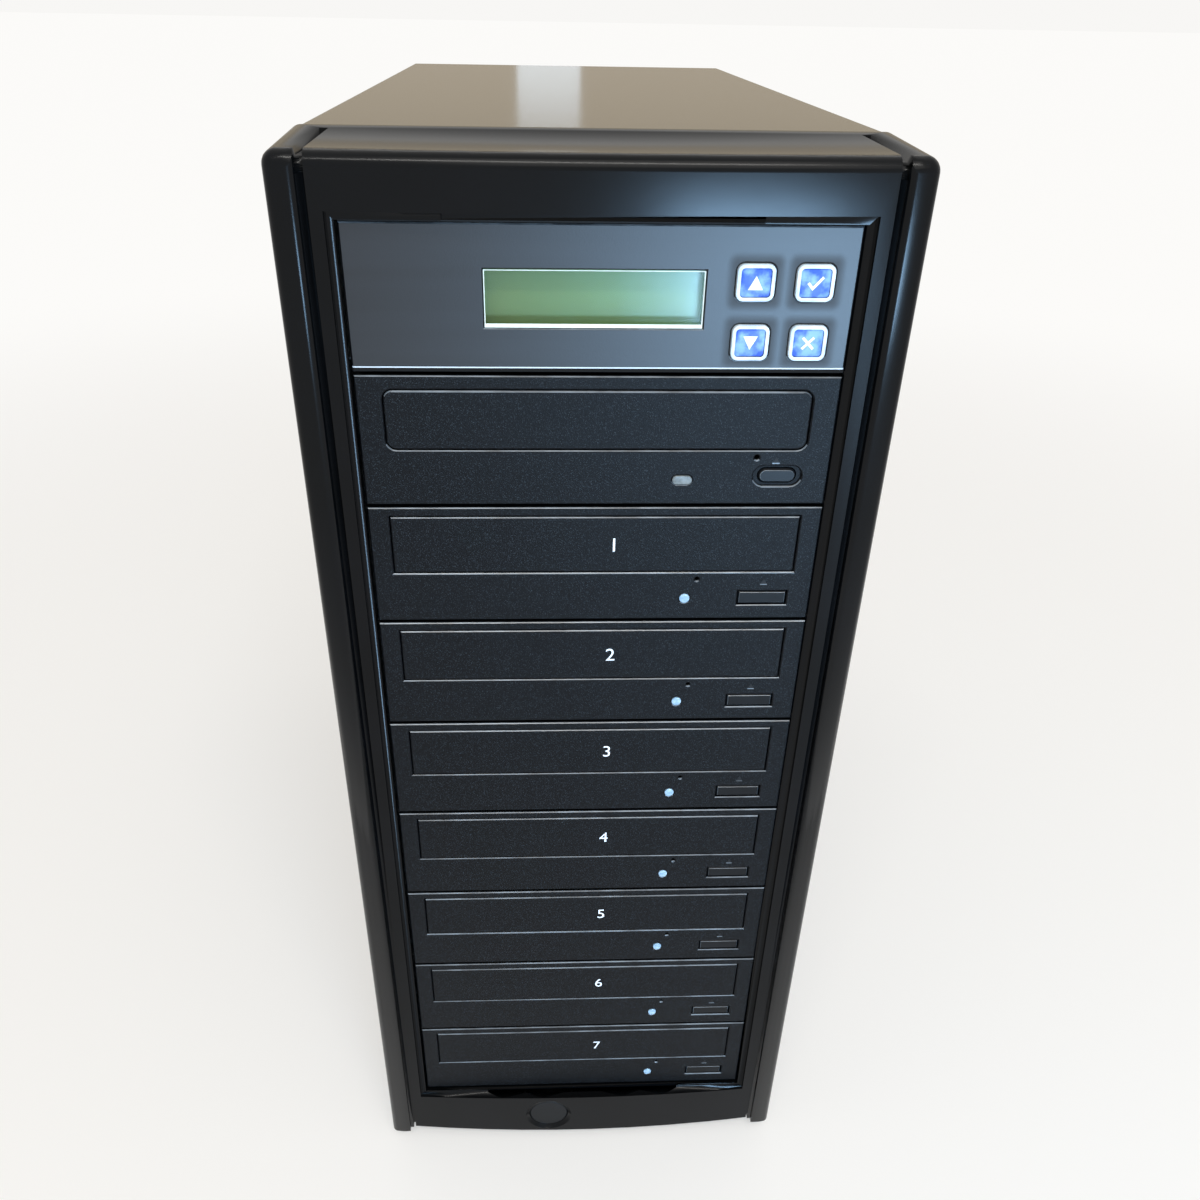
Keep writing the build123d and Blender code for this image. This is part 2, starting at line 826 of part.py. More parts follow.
def drive_works(place):
    """Spindle motor with its turntable, pickup, and the switch behind the eject button."""
    level = drive_foot + drive_sheet + deck_floor
    top = tray_bottom - 2 * running_gap
    centre = Pos(0, hub_centre_y)
    spindle = along_z(centre * small_round(motor_radius), level, top - turntable_thick)
    spindle += along_z(centre * Circle(turntable_radius), top - turntable_thick, top)
    wide, deep, tall = pickup_size
    near = hub_centre_y + pickup_offset
    pickup = block((-wide / 2, wide / 2), (near, near + deep), (level, level + tall))
    return [spindle, pickup, eject_switch(place)]


def eject_switch(place):
    """Switch body on the deck, just behind the button's stem."""
    x, z = place
    start = button_inset + button_depth + button_stem_length + button_travel + switch_gap
    floor = drive_foot + drive_sheet + deck_floor
    inner = tray_width / 2 + tray_side_gap - deck_ledge
    right = min(x + button_stem, inner - switch_gap)
    return block((x - button_stem, right), (start, start + 6), (floor, z + button_stem))


def burner_led():
    """Round light pipe."""
    return small_bar(burner_led_radius - led_gap, -led_proud, led_length, *burner_led_at)


def reader_led_pipe():
    """Oblong light pipe."""
    return along_y(Pos(*reader_led_at) * pill(inset(reader_led, led_gap)), -led_proud, led_length)


# ---- Control unit, drawn in the same way ------------------------------------------------------
def key_places():
    """Names and centres of the four keys."""
    names = ("key_up", "key_enter", "key_down", "key_cancel")
    centres = [(x, z) for z in key_rows for x in key_columns]
    return dict(zip(names, centres))


def corner_places(size, centre, margin):
    """Four fixing points near the corners of a board."""
    reach = (size[0] / 2 - margin, size[1] / 2 - margin)
    return [(centre[0] + i * reach[0], centre[1] + k * reach[1]) for i in (-1, 1) for k in (-1, 1)]


def key_board_centre():
    """Middle of the key board, behind the four keys."""
    return (sum(key_columns) / 2, face_height / 2)


def control_plate():
    """Front plate of the control unit with a window, four key openings and rear bosses."""
    plate = along_y(Pos(0, face_height / 2) * Rectangle(face_width, face_height), 0, plate_thick)
    opening = Rectangle(*inset(window_size, -window_gap))
    plate -= along_y(Pos(*window_at) * opening, -1, plate_thick + 1)
    hole = RectangleRounded(*inset(key_size, -key_gap), key_corner + key_gap)
    for place in key_places().values():
        plate -= along_y(Pos(*place) * hole, -1, plate_thick + 1)
    plate = softened(plate)
    for x, z in corner_places(key_board_size, key_board_centre(), boss_radius + 0.2):
        plate += small_bar(boss_radius, plate_thick, plate_thick + key_board_standoff, x, z)
    for x, z in corner_places(lcd_board_size, window_at, boss_radius + 0.2):
        if x < key_board_centre()[0] - key_board_size[0] / 2 - boss_radius:
            plate += small_bar(boss_radius, plate_thick, plate_thick + lcd_board_standoff, x, z)
    return plate


def lcd_window():
    """Clear pane in the plate's window."""
    pane = Pos(*window_at) * Rectangle(*window_size)
    return along_y(pane, window_inset, window_inset + window_thick)


def lcd_module():
    """Display board with a metal frame and its glass."""
    x, z = window_at
    back = plate_thick + lcd_board_standoff
    board = along_y(Pos(x, z) * Rectangle(*lcd_board_size), back, back + board_thick)
    frame = along_y(Pos(x, z) * Rectangle(*lcd_frame_size), back - lcd_frame_depth, back)
    view = Pos(x, z) * Rectangle(*inset(window_size, -window_gap))
    frame -= along_y(view, back - lcd_frame_depth - 1, back - lcd_frame_depth + lcd_frame_wall)
    room = Pos(x, z) * Rectangle(*inset(lcd_frame_size, lcd_frame_wall))
    frame -= along_y(room, back - lcd_frame_depth + lcd_frame_wall, back + 1)
    glass_front = back - lcd_frame_depth + lcd_frame_wall
    size = inset(lcd_frame_size, lcd_frame_wall + window_gap)
    glass = along_y(Pos(x, z) * Rectangle(*size), glass_front, back)
    return [board, frame, glass]


def key_cap(place):
    """Low domed key."""
    shape = RectangleRounded(*key_size, key_corner)
    cap = along_y(Pos(*place) * shape, -key_proud, key_depth)
    return chamfer(cap.faces().sort_by(Axis.Y)[0].edges(), key_dome)


def key_board():
    """Small board with a push switch behind each key."""
    back = plate_thick + key_board_standoff
    board = Pos(*key_board_centre()) * Rectangle(*key_board_size)
    pieces = [along_y(board, back, back + board_thick)]
    for x, z in key_places().values():
        tip = back - tact_thick - tact_plunger_length
        body = Pos(x, z) * Rectangle(tact_size, tact_size)
        switch = along_y(body, back - tact_thick, back)
        pieces.append(switch + small_bar(tact_plunger_radius, tip, back - tact_thick, x, z))
    return pieces


def controller_bracket():
    """Folded tray that carries the controller board in the top bay."""
    half = drive_width / 2
    depth = (plate_thick, plate_thick + bracket_length)
    top = drive_foot + drive_height
    body = block((-half, half), depth, (drive_foot, top))
    inner = half - drive_sheet
    room = (depth[0] - 1, depth[1] + 1)
    body -= block((-inner, inner), room, (drive_foot + drive_sheet, top + 1))
    floor = drive_foot + drive_sheet
    centre = (0, board_inset + board_size[1] / 2)
    for x, y in corner_places(board_size, centre, board_foot_margin):
        body += along_z(Pos(x, y) * small_round(boss_radius), floor, floor + board_standoff)
    return body


def board_level():
    """Underside of the controller board."""
    return drive_foot + drive_sheet + board_standoff


def socket_z(index):
    """Centre of a data socket in the stack, lowest first."""
    return board_level() + board_thick + socket_pitch * (index + 0.5)


def fin_block(x, y, floor):
    """Heat sink with straight fins, its base centred on x and y."""
    wide, deep, tall = heat_sink
    sink = along_z(Pos(x, y) * Rectangle(wide, deep), floor, floor + tall)
    count = int(deep // fin_pitch)
    for number in range(count):
        place = Pos(x, y + (number - (count - 1) / 2) * fin_pitch)
        gap = place * Rectangle(wide + 2, fin_gap)
        sink -= along_z(gap, floor + fin_base, floor + tall + 1)
    return sink


def controller_board():
    """Board with a finned processor, memory, capacitors and the stacked data sockets."""
    wide, deep = board_size
    low = board_level()
    top = low + board_thick
    back = board_inset + deep
    pieces = [block((-wide / 2, wide / 2), (board_inset, back), (low, top))]
    pieces.append(fin_block(heat_sink_at[0], board_inset + heat_sink_at[1], top))
    for chip in range(chip_count):
        place = Pos(chip_row_at[0] + chip * chip_pitch, board_inset + chip_row_at[1])
        pieces.append(along_z(place * Rectangle(*chip_size[:2]), top, top + chip_size[2]))
    for can in range(can_count):
        place = Pos(can_row_at[0], board_inset + can_row_at[1] + can * can_pitch)
        pieces.append(along_z(place * small_round(can_radius), top, top + can_height))
    stack = block(
        (-socket_width / 2, socket_width / 2),
        (back - socket_depth, back),
        (top, top + socket_pitch * (cable_count + 0.2)),
    )
    pieces.append(stack)
    return pieces


# ---- Cables --------------------------------------------------------------------------------
def data_cable(index):
    """Flat cable from drive number index (1 at the top) up to its socket in the stack."""
    socket_y = face_y + board_inset + board_size[1]
    socket = bay_z(0) + socket_z(index - 1)
    drive_back = drive_y + drive_depth
    drive = bay_z(index) + face_height / 2
    back = drive_back + cable_reach + cable_step * index
    path = FilletPolyline(
        (drive_back, drive), (back, drive), (back, socket), (socket_y, socket), radius=cable_bend
    )
    ribbon = trace(path, cable_thick)
    return along_x(ribbon, -cable_width / 2, cable_width / 2)


# ---- Power supply ---------------------------------------------------------------------------
def psu_case():
    """Sheet box with a fan vent, inlet openings and a vented inner end."""
    half = psu_width / 2
    depth = (panel_y - psu_depth, panel_y)
    top = base_top + psu_height
    body = block((-half, half), depth, (base_top, top))
    body -= block(
        (-half + sheet, half - sheet),
        (depth[0] + sheet, depth[1] - sheet),
        (base_top + sheet, top - sheet),
    )
    tool = (panel_y - sheet - 1, panel_y + 1)
    fan_x, fan_z = psu_fan_at
    body -= along_y(Pos(fan_x, base_top + fan_z) * vent(vent_radius), *tool)
    for size, (x, z) in ((inlet_body, inlet_at), (rocker_body_size(), rocker_at)):
        hole = Rectangle(*inset(size, -window_gap))
        body -= along_y(Pos(x, base_top + z) * hole, *tool)
    for x, z in psu_holes():
        body -= small_bar(screw_radius + screw_gap, *tool, x, z)
    inner_vent = Sketch()
    for row in range(psu_slot_rows):
        height = psu_slot_start + row * psu_slot_pitch
        inner_vent += Pos(0, height) * Rectangle(psu_slot_length, vent_slot)
    inner = Pos(0, base_top) * inner_vent
    body -= along_y(inner, depth[0] - 1, depth[0] + sheet + 1)
    floor = base_top + sheet
    for place in corner_places(psu_board_size, (0, psu_board_middle), board_foot_margin):
        body += along_z(Pos(*place) * small_round(boss_radius), floor, floor + psu_board_standoff)
    return body


def psu_board():
    """Board with a transformer, capacitors and two heat sinks."""
    low = base_top + sheet + psu_board_standoff
    near = psu_board_middle - psu_board_size[1] / 2
    top = low + board_thick
    pieces = [along_z(Pos(0, psu_board_middle) * Rectangle(*psu_board_size), low, top)]
    place = Pos(transformer_at[0], near + transformer_at[1])
    pieces.append(along_z(place * Rectangle(*transformer[:2]), top, top + transformer[2]))
    for x in sink_plate_columns:
        plate = Pos(x, psu_board_middle) * Rectangle(*sink_plate[:2])
        pieces.append(along_z(plate, top, top + sink_plate[2]))
    for x, y in psu_can_places:
        can = Pos(x, near + y) * small_round(psu_can_radius)
        pieces.append(along_z(can, top, top + psu_can_height))
    return pieces


def rocker_body_size():
    """Outside of the rocker's frame behind the flange."""
    return inset(rocker_flange, rocker_lip)


def mains_inlet():
    """Inlet socket with three blades, and the frame of the switch below it."""
    x, z = inlet_at[0], base_top + inlet_at[1]
    front = panel_y - inlet_depth
    body = along_y(Pos(x, z) * Rectangle(*inlet_body), front, panel_y)
    body += along_y(Pos(x, z) * Rectangle(*inlet_flange), panel_y, panel_y + flange_thick)
    mouth = chamfer(Rectangle(*inlet_cavity).vertices().group_by(Axis.Y)[-1], inlet_corner)
    floor = panel_y + flange_thick - inlet_cavity_depth
    body -= along_y(Pos(x, z) * mouth, floor, panel_y + flange_thick + 1)
    wide, tall, long = pin_size
    for offset, lift in ((-pin_spacing, 0), (0, pin_lift), (pin_spacing, 0)):
        blade = Pos(x + offset, z + lift) * Rectangle(wide, tall)
        body += along_y(blade, floor, floor + long)

    x, z = rocker_at[0], base_top + rocker_at[1]
    frame = along_y(
        Pos(x, z) * Rectangle(*rocker_body_size()), panel_y - rocker_depth, panel_y
    )
    frame += along_y(Pos(x, z) * Rectangle(*rocker_flange), panel_y, panel_y + flange_thick)
    well = Pos(x, z) * Rectangle(*rocker_opening)
    frame -= along_y(well, panel_y - rocker_depth + flange_thick, panel_y + flange_thick + 1)
    pin_half = rocker_opening[0] / 2 + rocker_pin_depth
    bore = Plane(origin=(x, panel_y, z), x_dir=(0, 1, 0), z_dir=(1, 0, 0))
    frame -= extrude(bore * Circle(rocker_pin_radius + pivot_gap), pin_half, both=True)
    return [body, frame]


def rocker():
    """Tilted rocker on two stub pins."""
    x, z = rocker_at[0], base_top + rocker_at[1]
    wide, tall = rocker_size
    half = tall / 2
    profile = outline(
        (-rocker_back, -half * rocker_taper),
        (rocker_front, -half),
        (rocker_front - rocker_dip, 0),
        (rocker_front, half),
        (-rocker_back, half * rocker_taper),
    )
    plane = Plane(origin=(x, panel_y, z), x_dir=(0, 1, 0), z_dir=(1, 0, 0))
    turn = Rot(0, 0, rocker_tilt)
    body = extrude(plane * (turn * profile), wide / 2, both=True)
    pin_half = rocker_opening[0] / 2 + rocker_pin_depth - button_gap
    return body + extrude(plane * Circle(rocker_pin_radius), pin_half, both=True)


# ---- Fans, drawn with the rear face at Y 0 and the axis at X 0, Z 0 ---------------------------
def fan_frame():
    """Square frame with a round duct, and spokes that carry the bearing tube."""
    square = Rectangle(fan_size, fan_size)
    body = along_y(chamfer(square.vertices(), fan_corner), -fan_thick, 0)
    body -= turned_y(fan_bore_radius, -fan_thick - 1, 1)
    inner = (-fan_thick, -fan_thick + hub_base_thick)
    for turn in (45, 135):
        bar = Rot(0, 0, turn) * Rectangle(2 * fan_bore_radius + 2, spoke_width)
        body += along_y(bar, *inner)
    body += turned_y(hub_radius, *inner)
    body += turned_y(bearing_radius, -fan_thick, -fan_thick + bearing_length)
    body -= turned_y(shaft_radius + shaft_gap, -fan_thick + 1, 0)
    for x, z in fan_holes(0, 0):
        body -= small_bar(fan_hole_radius, -fan_thick - 1, 1, x, z)
    return body


def fan_rotor():
    """Hub cup with its shaft and curved blades."""
    front = -fan_thick + hub_base_thick + 1
    back = front + hub_length
    cup = turned_y(hub_radius, front, back)
    cup -= turned_y(hub_radius - hub_wall, front - 1, back - hub_wall)
    cup += turned_y(shaft_radius, -fan_thick + 2, back)
    half = blade_chord / 2
    outer = Edge.make_three_point_arc((-half, 0), (0, blade_bulge + blade_thick), (half, 0))
    inner = Edge.make_three_point_arc((-half, 0), (0, blade_bulge), (half, 0))
    section = Rot(0, 0, 90 - blade_pitch) * make_face([outer, inner])
    root = hub_radius - hub_wall / 2
    middle = (front + back) / 2
    plane = Plane(origin=(0, middle, root), x_dir=(1, 0, 0), z_dir=(0, 0, 1))
    blade = extrude(plane * section, fan_bore_radius - blade_tip_gap - root)
    rotor = cup
    for number in range(blade_count):
        rotor += Rot(0, number * 360 / blade_count, 0) * blade
    return rotor


# ---- Fasteners -------------------------------------------------------------------------------
def screw(x, y, z):
    """Hexagon-headed case screw seen from behind, its head's seat at y."""
    head = along_y(Pos(x, z) * RegularPolygon(screw_head_across / 2, 6), y, y + screw_head)
    return head + small_bar(screw_radius, y - screw_length, y, x, z)


def case_screws():
    """Screws of the cover, the fans and the power supply."""
    places = [(x, rear_y, z) for x, z in cover_screws()]
    seat = rear_y - sheet
    places += [(x, seat, z) for x, z in psu_holes()]
    for height in fan_heights:
        places += [(x, seat, z) for x, z in fan_holes(0, height)]
    return [screw(*place) for place in places]


# ---- All nodes ---------------------------------------------------------------------------------
def in_bay(bay, piece):
    """A drive piece moved to its bay."""
    return Pos(0, face_y, bay_z(bay)) * piece


def all_nodes():
    """Every node's name with its solid or solids."""
    nodes = {
        "front_bezel": front_bezel(),
        "power_button": power_button(),
        "power_switch": power_switch(),
        "case_cover": case_cover(),
        "chassis_base": chassis_base(),
        "rear_panel": rear_panel(),
        "cage_sides": [cage_side(-1), cage_side(1)],
        "cage_brace": cage_brace(),
        "feet": feet(),
        "case_screws": case_screws(),
        "psu_case": psu_case(),
        "psu_board": psu_board(),
        "mains_inlet": mains_inlet(),
        "rocker_switch": rocker(),
    }
    nodes["control_plate"] = in_bay(0, control_plate())
    nodes["lcd_window"] = in_bay(0, lcd_window())
    nodes["lcd_module"] = [in_bay(0, piece) for piece in lcd_module()]
    nodes["key_board"] = [in_bay(0, piece) for piece in key_board()]
    nodes["controller_bracket"] = in_bay(0, controller_bracket())
    nodes["controller_board"] = [in_bay(0, piece) for piece in controller_board()]
    for name, place in key_places().items():
        nodes[name] = in_bay(0, key_cap(place))

    frame, rotor = fan_frame(), fan_rotor()
    fan_x, fan_z = psu_fan_at
    centres = {
        "fan_rotor_lower": (0, panel_y, fan_heights[0]),
        "fan_rotor_upper": (0, panel_y, fan_heights[1]),
        "psu_fan_rotor": (fan_x, panel_y - sheet, base_top + fan_z),
    }
    nodes["fan_frames"] = [Pos(*centre) * frame for centre in centres.values()]
    for name, centre in centres.items():
        nodes[name] = Pos(*centre) * rotor

    burners = range(2, drive_count + 1)
    nodes["reader_faceplate"] = in_bay(1, reader_plate())
    plate = burner_plate()
    nodes["burner_faceplates"] = [in_bay(bay, plate) for bay in burners]
    pan, lid, deck, disc_tray = drive_pan(), drive_lid(), drive_deck(), tray()
    led = burner_led()
    nodes["drive_leds"] = [in_bay(1, reader_led_pipe())] + [in_bay(bay, led) for bay in burners]
    bays = range(1, drive_count + 1)
    nodes["drive_pans"] = [in_bay(bay, pan) for bay in bays]
    nodes["drive_lids"] = [in_bay(bay, lid) for bay in bays]
    nodes["drive_decks"] = [in_bay(bay, deck) for bay in bays]
    works = {1: drive_works(reader_button_at)}
    works.update(dict.fromkeys(burners, drive_works(burner_button_at)))
    nodes["drive_works"] = [in_bay(bay, piece) for bay in bays for piece in works[bay]]
    reader_cap = eject_button(pill(inset(reader_button, button_gap)), reader_button_at)
    burner_cap = eject_button(Rectangle(*inset(burner_button, button_gap)), burner_button_at)
    reader_front = door(reader_door, reader_door_bottom, reader_door_radius)
    burner_front = door(burner_door, burner_door_bottom, 0)
    for bay in bays:
        reader = bay == 1
        nodes[f"disc_tray_{bay}"] = in_bay(bay, disc_tray)
        nodes[f"tray_door_{bay}"] = in_bay(bay, reader_front if reader else burner_front)
        nodes[f"eject_button_{bay}"] = in_bay(bay, reader_cap if reader else burner_cap)
    nodes["data_cables"] = [data_cable(index) for index in bays]
    return nodes


def write_nodes():
    """Writes one file for each node."""
    os.makedirs("parts", exist_ok=True)
    for name, shape in all_nodes().items():
        solids = shape if isinstance(shape, list) else [shape]
        whole = [solid for piece in solids for solid in piece.solids()]
        export_step(Compound(children=whole) if len(whole) > 1 else whole[0], f"parts/{name}.step")


write_nodes()
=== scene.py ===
# %% [markdown]
# # A disc duplicator tower
#
# The real object is a tall steel case behind a moulded black front. One control unit with a
# display and four keys sits over eight disc drives. The construction comes in as a fixed frame:
# every solid is in its place and at its size. What is left to make here is what the eye sees,
# which is gloss, grain, print, soft edges and light.

from math import cos, pi, radians, sin

import bmesh
import bpy
import numpy as np
from mathutils import Matrix, Vector


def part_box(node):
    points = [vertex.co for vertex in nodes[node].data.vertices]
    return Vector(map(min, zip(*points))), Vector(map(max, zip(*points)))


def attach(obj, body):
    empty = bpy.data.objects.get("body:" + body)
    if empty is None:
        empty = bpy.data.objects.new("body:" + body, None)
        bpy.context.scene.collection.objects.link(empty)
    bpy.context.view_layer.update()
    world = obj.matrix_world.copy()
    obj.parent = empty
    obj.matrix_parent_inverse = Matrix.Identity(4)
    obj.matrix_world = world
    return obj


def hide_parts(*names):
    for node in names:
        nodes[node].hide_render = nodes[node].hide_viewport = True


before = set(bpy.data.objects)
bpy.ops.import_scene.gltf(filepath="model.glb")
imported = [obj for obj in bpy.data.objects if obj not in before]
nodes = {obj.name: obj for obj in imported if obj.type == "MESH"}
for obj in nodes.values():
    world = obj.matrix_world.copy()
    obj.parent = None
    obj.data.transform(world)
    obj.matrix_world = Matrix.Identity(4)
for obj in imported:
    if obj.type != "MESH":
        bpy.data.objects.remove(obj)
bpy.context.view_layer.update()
MM = 0.001
BAYS = range(1, 9)                 # disc drives, counted from the top

# %% [markdown]
# ## The camera
#
# The photograph looks down on the tower from close in front, so the front tapers strongly. A
# camera was fitted to the corners of the drive fronts: its focal length in pixels, the picture's
# true centre and its eye point are the values below. A centre that isn't in the middle of the
# picture becomes lens shift, so the verticals converge as they do in the photograph.

# %% Camera
PICTURE = 1200                     # side of the square photograph in pixels
FOCAL = 1026.7                     # focal length in pixels
CENTRE = (583, 645)                # where the lens axis meets the picture
EYE = Vector((-18.5, -509.6, 476.9)) * MM
PITCH, YAW, ROLL = radians(32.129), radians(-2.781), radians(1.062)

forward = Vector((-sin(YAW) * cos(PITCH), cos(YAW) * cos(PITCH), -sin(PITCH)))
level = Vector((cos(YAW), sin(YAW), 0))
above = level.cross(forward)
right = level * cos(ROLL) + above * sin(ROLL)
up = above * cos(ROLL) - level * sin(ROLL)

lens = bpy.data.cameras.new("camera")
lens.sensor_width = 36
lens.lens = FOCAL / PICTURE * lens.sensor_width
lens.shift_x = (PICTURE / 2 - CENTRE[0]) / PICTURE
lens.shift_y = (CENTRE[1] - PICTURE / 2) / PICTURE
camera = bpy.data.objects.new("camera", lens)
turn = Matrix((right, up, -forward)).transposed()
camera.matrix_world = Matrix.Translation(EYE) @ turn.to_4x4()
bpy.context.scene.collection.objects.link(camera)
bpy.context.scene.camera = camera
bpy.context.scene.view_settings.view_transform = "Standard"
print("lens", round(lens.lens, 2), "mm, looking down", round(PITCH * 180 / pi, 1), "degrees")

# %% [markdown]
# ## Helpers for materials
#
# A hex colour is what a screen shows, while the shader works in linear light, so one function
# undoes the display curve. A second one adds a shader node with its settings and links, which
# keeps every material below down to a few readable lines. Patterns are stated by a real size in
# millimetres: a texture's scale is how many of them fit in a metre.

# %% Colour, scale and node helpers
def linear(hex_colour):
    """Undoes the display curve of a hex colour, channel by channel, and adds full alpha."""
    codes = np.array([int(hex_colour[i : i + 2], 16) for i in (1, 3, 5)]) / 255
    low, high = codes / 12.92, ((codes + 0.055) / 1.055) ** 2.4
    return (*np.where(codes <= 0.04045, low, high), 1.0)


def per_metre(size_mm):
    """How many features of this size fit in a metre."""
    return 1 / (size_mm * MM)


def add(tree, kind, inputs=None, **settings):
    """Adds a shader node. Settings are its properties; inputs takes values or output sockets."""
    made = tree.nodes.new("ShaderNode" + kind)
    for name, value in settings.items():
        setattr(made, name, value)
    for socket, value in (inputs or {}).items():
        if isinstance(value, bpy.types.NodeSocket):
            tree.links.new(value, made.inputs[socket])
        else:
            made.inputs[socket].default_value = value
    return made


def surface(name, colour, roughness, metallic=0.0, **even):
    """A material whose even values sit on the shader's own sockets."""
    made = bpy.data.materials.new(name)
    made.use_nodes = True
    shader = made.node_tree.nodes["Principled BSDF"]
    shader.inputs["Base Color"].default_value = linear(colour)
    shader.inputs["Roughness"].default_value = roughness
    shader.inputs["Metallic"].default_value = metallic
    for socket, value in even.items():
        shader.inputs[socket.replace("_", " ")].default_value = value
    return made, made.node_tree, shader


# %% [markdown]
# Most finishes share two traits: a colour that drifts a little, and a fine relief. Both read the
# object's own coordinates, which stay with the piece when it moves.

# %% Colour drift and relief
def drift(tree, shader, first, second, size_mm, low=0.35, high=0.65, stretch=(1, 1, 1)):
    """Blends two colours by smooth noise with features of the given size."""
    place = add(tree, "TexCoord").outputs["Object"]
    place = add(tree, "Mapping", {"Vector": place, "Scale": stretch}).outputs[0]
    noise = add(tree, "TexNoise", {"Vector": place, "Scale": per_metre(size_mm), "Detail": 3.0})
    ramp = add(tree, "ValToRGB", {"Fac": noise.outputs["Fac"]})
    ramp.color_ramp.elements[0].position = low
    ramp.color_ramp.elements[0].color = linear(first)
    ramp.color_ramp.elements[1].position = high
    ramp.color_ramp.elements[1].color = linear(second)
    tree.links.new(ramp.outputs["Color"], shader.inputs["Base Color"])
    return ramp


def colour_mix(tree, share, first, second):
    """Blends two colours, or two colour outputs, by a share from 0 to 1, and gives the output."""
    mix = add(tree, "Mix", {0: share, 6: first, 7: second}, data_type="RGBA")
    return mix.outputs[2]


def relief(tree, shader, size_mm, depth_mm, detail=2.0, stretch=(1, 1, 1)):
    """Tilts the surface by noise of the given grain size and depth."""
    place = add(tree, "TexCoord").outputs["Object"]
    place = add(tree, "Mapping", {"Vector": place, "Scale": stretch}).outputs[0]
    grain = add(tree, "TexNoise", {"Vector": place, "Scale": per_metre(size_mm), "Detail": detail})
    bump = add(tree, "Bump", {"Height": grain.outputs["Fac"], "Distance": depth_mm * MM})
    tree.links.new(bump.outputs["Normal"], shader.inputs["Normal"])
    return bump


# %% [markdown]
# ## Plastics
#
# The front is ABS, moulded in a polished tool: nearly black, with clear reflections that wander
# slightly, because the skin follows the shrinking plastic under it. Moulders call it orange peel,
# a few millimetres across and far less than a hair deep.

# %% Gloss black moulded ABS
gloss_abs, tree, shader = surface("gloss_moulded_abs", "#08090b", 0.2, IOR=1.24)
drift(tree, shader, "#050607", "#08090b", 40)
relief(tree, shader, 6, 0.01)

# %% [markdown]
# The drive fronts and doors are nearly black ABS from a spark-eroded tool. Its fine pits each
# mirror another part of the room, so the surface sparkles in salt and pepper: the grain tilts the
# surface, and a lighter colour on its peaks is painted glint. Real pits are under 0.1 mm, too fine
# to show, so they are drawn at 0.28 mm. Where such a part has an edge that faces up and forward,
# a light grey finish stands for the thin line of light it catches: a painted highlight.

# %% Sparkling finishes
GRAIN = 0.28


def sparkling(name, dark, light, roughness, ior, depth_mm, speck="#30363b", share=0.6):
    """Fine grain: noise tilts the surface and its peaks get a lighter colour, on the fronts a
    painted glint.
    """
    made, tree, shader = surface(name, dark, roughness, IOR=ior)
    place = add(tree, "TexCoord").outputs["Object"]
    fine = add(tree, "TexNoise", {"Vector": place, "Scale": per_metre(GRAIN), "Detail": 1.0})
    broad = add(tree, "TexNoise", {"Vector": place, "Scale": per_metre(25.0), "Detail": 2.0})
    base = colour_mix(tree, broad.outputs["Fac"], linear(dark), linear(light))
    peak = add(
        tree,
        "MapRange",
        {"Value": fine.outputs["Fac"], "From Min": share, "From Max": share + 0.12},
    )
    mixed = colour_mix(tree, peak.outputs["Result"], base, linear(speck))
    tree.links.new(mixed, shader.inputs["Base Color"])
    bump = add(tree, "Bump", {"Height": fine.outputs["Fac"], "Distance": depth_mm * MM})
    tree.links.new(bump.outputs["Normal"], shader.inputs["Normal"])
    return made


# On the fronts the lighter specks are painted glint.
face_abs = sparkling("spark_eroded_face_abs", "#060709", "#090a0c", 0.42, 1.22, 0.08)
# Painted highlight: a light grey finish for the thin edges that face up and forward.
painted_highlight_abs, tree, shader = surface("painted_edge_highlight_abs", "#4d545a", 0.3, IOR=1.6)
drift(tree, shader, "#3c4247", "#6a737a", 9, stretch=(1, 1, 0.2))

# %% [markdown]
# The control unit's front carries a satin printed film with a faint brushing along it, so its
# highlights smear upwards. The eject buttons and the power button are satin ABS without flakes,
# and trays, loader frames and fans are matte ABS and nylon with a fine spark-eroded grain.

# %% Satin film and matte plastics
film, tree, shader = surface("satin_printed_film", "#0f1013", 0.4, IOR=1.53)
film_tone = drift(tree, shader, "#0d0e11", "#121418", 6, stretch=(0.05, 1, 1))
relief(tree, shader, 0.45, 0.014)

key_low, key_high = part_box("key_down")[0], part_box("key_enter")[1]
key_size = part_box("key_up")[1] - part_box("key_up")[0]
film_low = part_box("control_plate")[0]
SHADED_RING_WIDTH = 3.6                         # width of the dark halo round each key, in mm
TRIM = (1.2, 1.6)                  # heights over the lower edge where the black band and the pale line end, in mm

# %% [markdown]
# The film bulges a little round each key, and that ring is rougher; its darker colour there is
# painted shade. Its distance from a key comes from folding the four keys onto one: the distance
# from the middle of the group, less half the spacing, less half a key, on both axes. Along the
# plate's lower edge the colour turns to a thin pale line, and under it to a nearly black, fully
# rough band.

# %% Painted shade round the keys, and the lines along the lower edge
middle = (key_low + key_high) / 2
reach = (key_high - key_low) / 2
place = add(tree, "TexCoord").outputs["Object"]
folded = place
for shift in (middle, reach - key_size / 2, key_size / 2):
    moved = add(tree, "VectorMath", {0: folded, 1: shift}, operation="SUBTRACT").outputs[0]
    folded = add(tree, "VectorMath", {0: moved}, operation="ABSOLUTE").outputs[0]
outside = add(tree, "VectorMath", {0: moved, 1: (0, 0, 0)}, operation="MAXIMUM").outputs[0]
flat = add(tree, "VectorMath", {0: outside, 1: (1, 0, 1)}, operation="MULTIPLY").outputs[0]
gap = add(tree, "VectorMath", {0: flat}, operation="LENGTH").outputs["Value"]
shaded_rough_ring = add(
    tree,
    "MapRange",
    {"Value": gap, "From Max": SHADED_RING_WIDTH * MM, "To Min": 0.5, "To Max": 0.0},
    interpolation_type="SMOOTHSTEP",
).outputs["Result"]
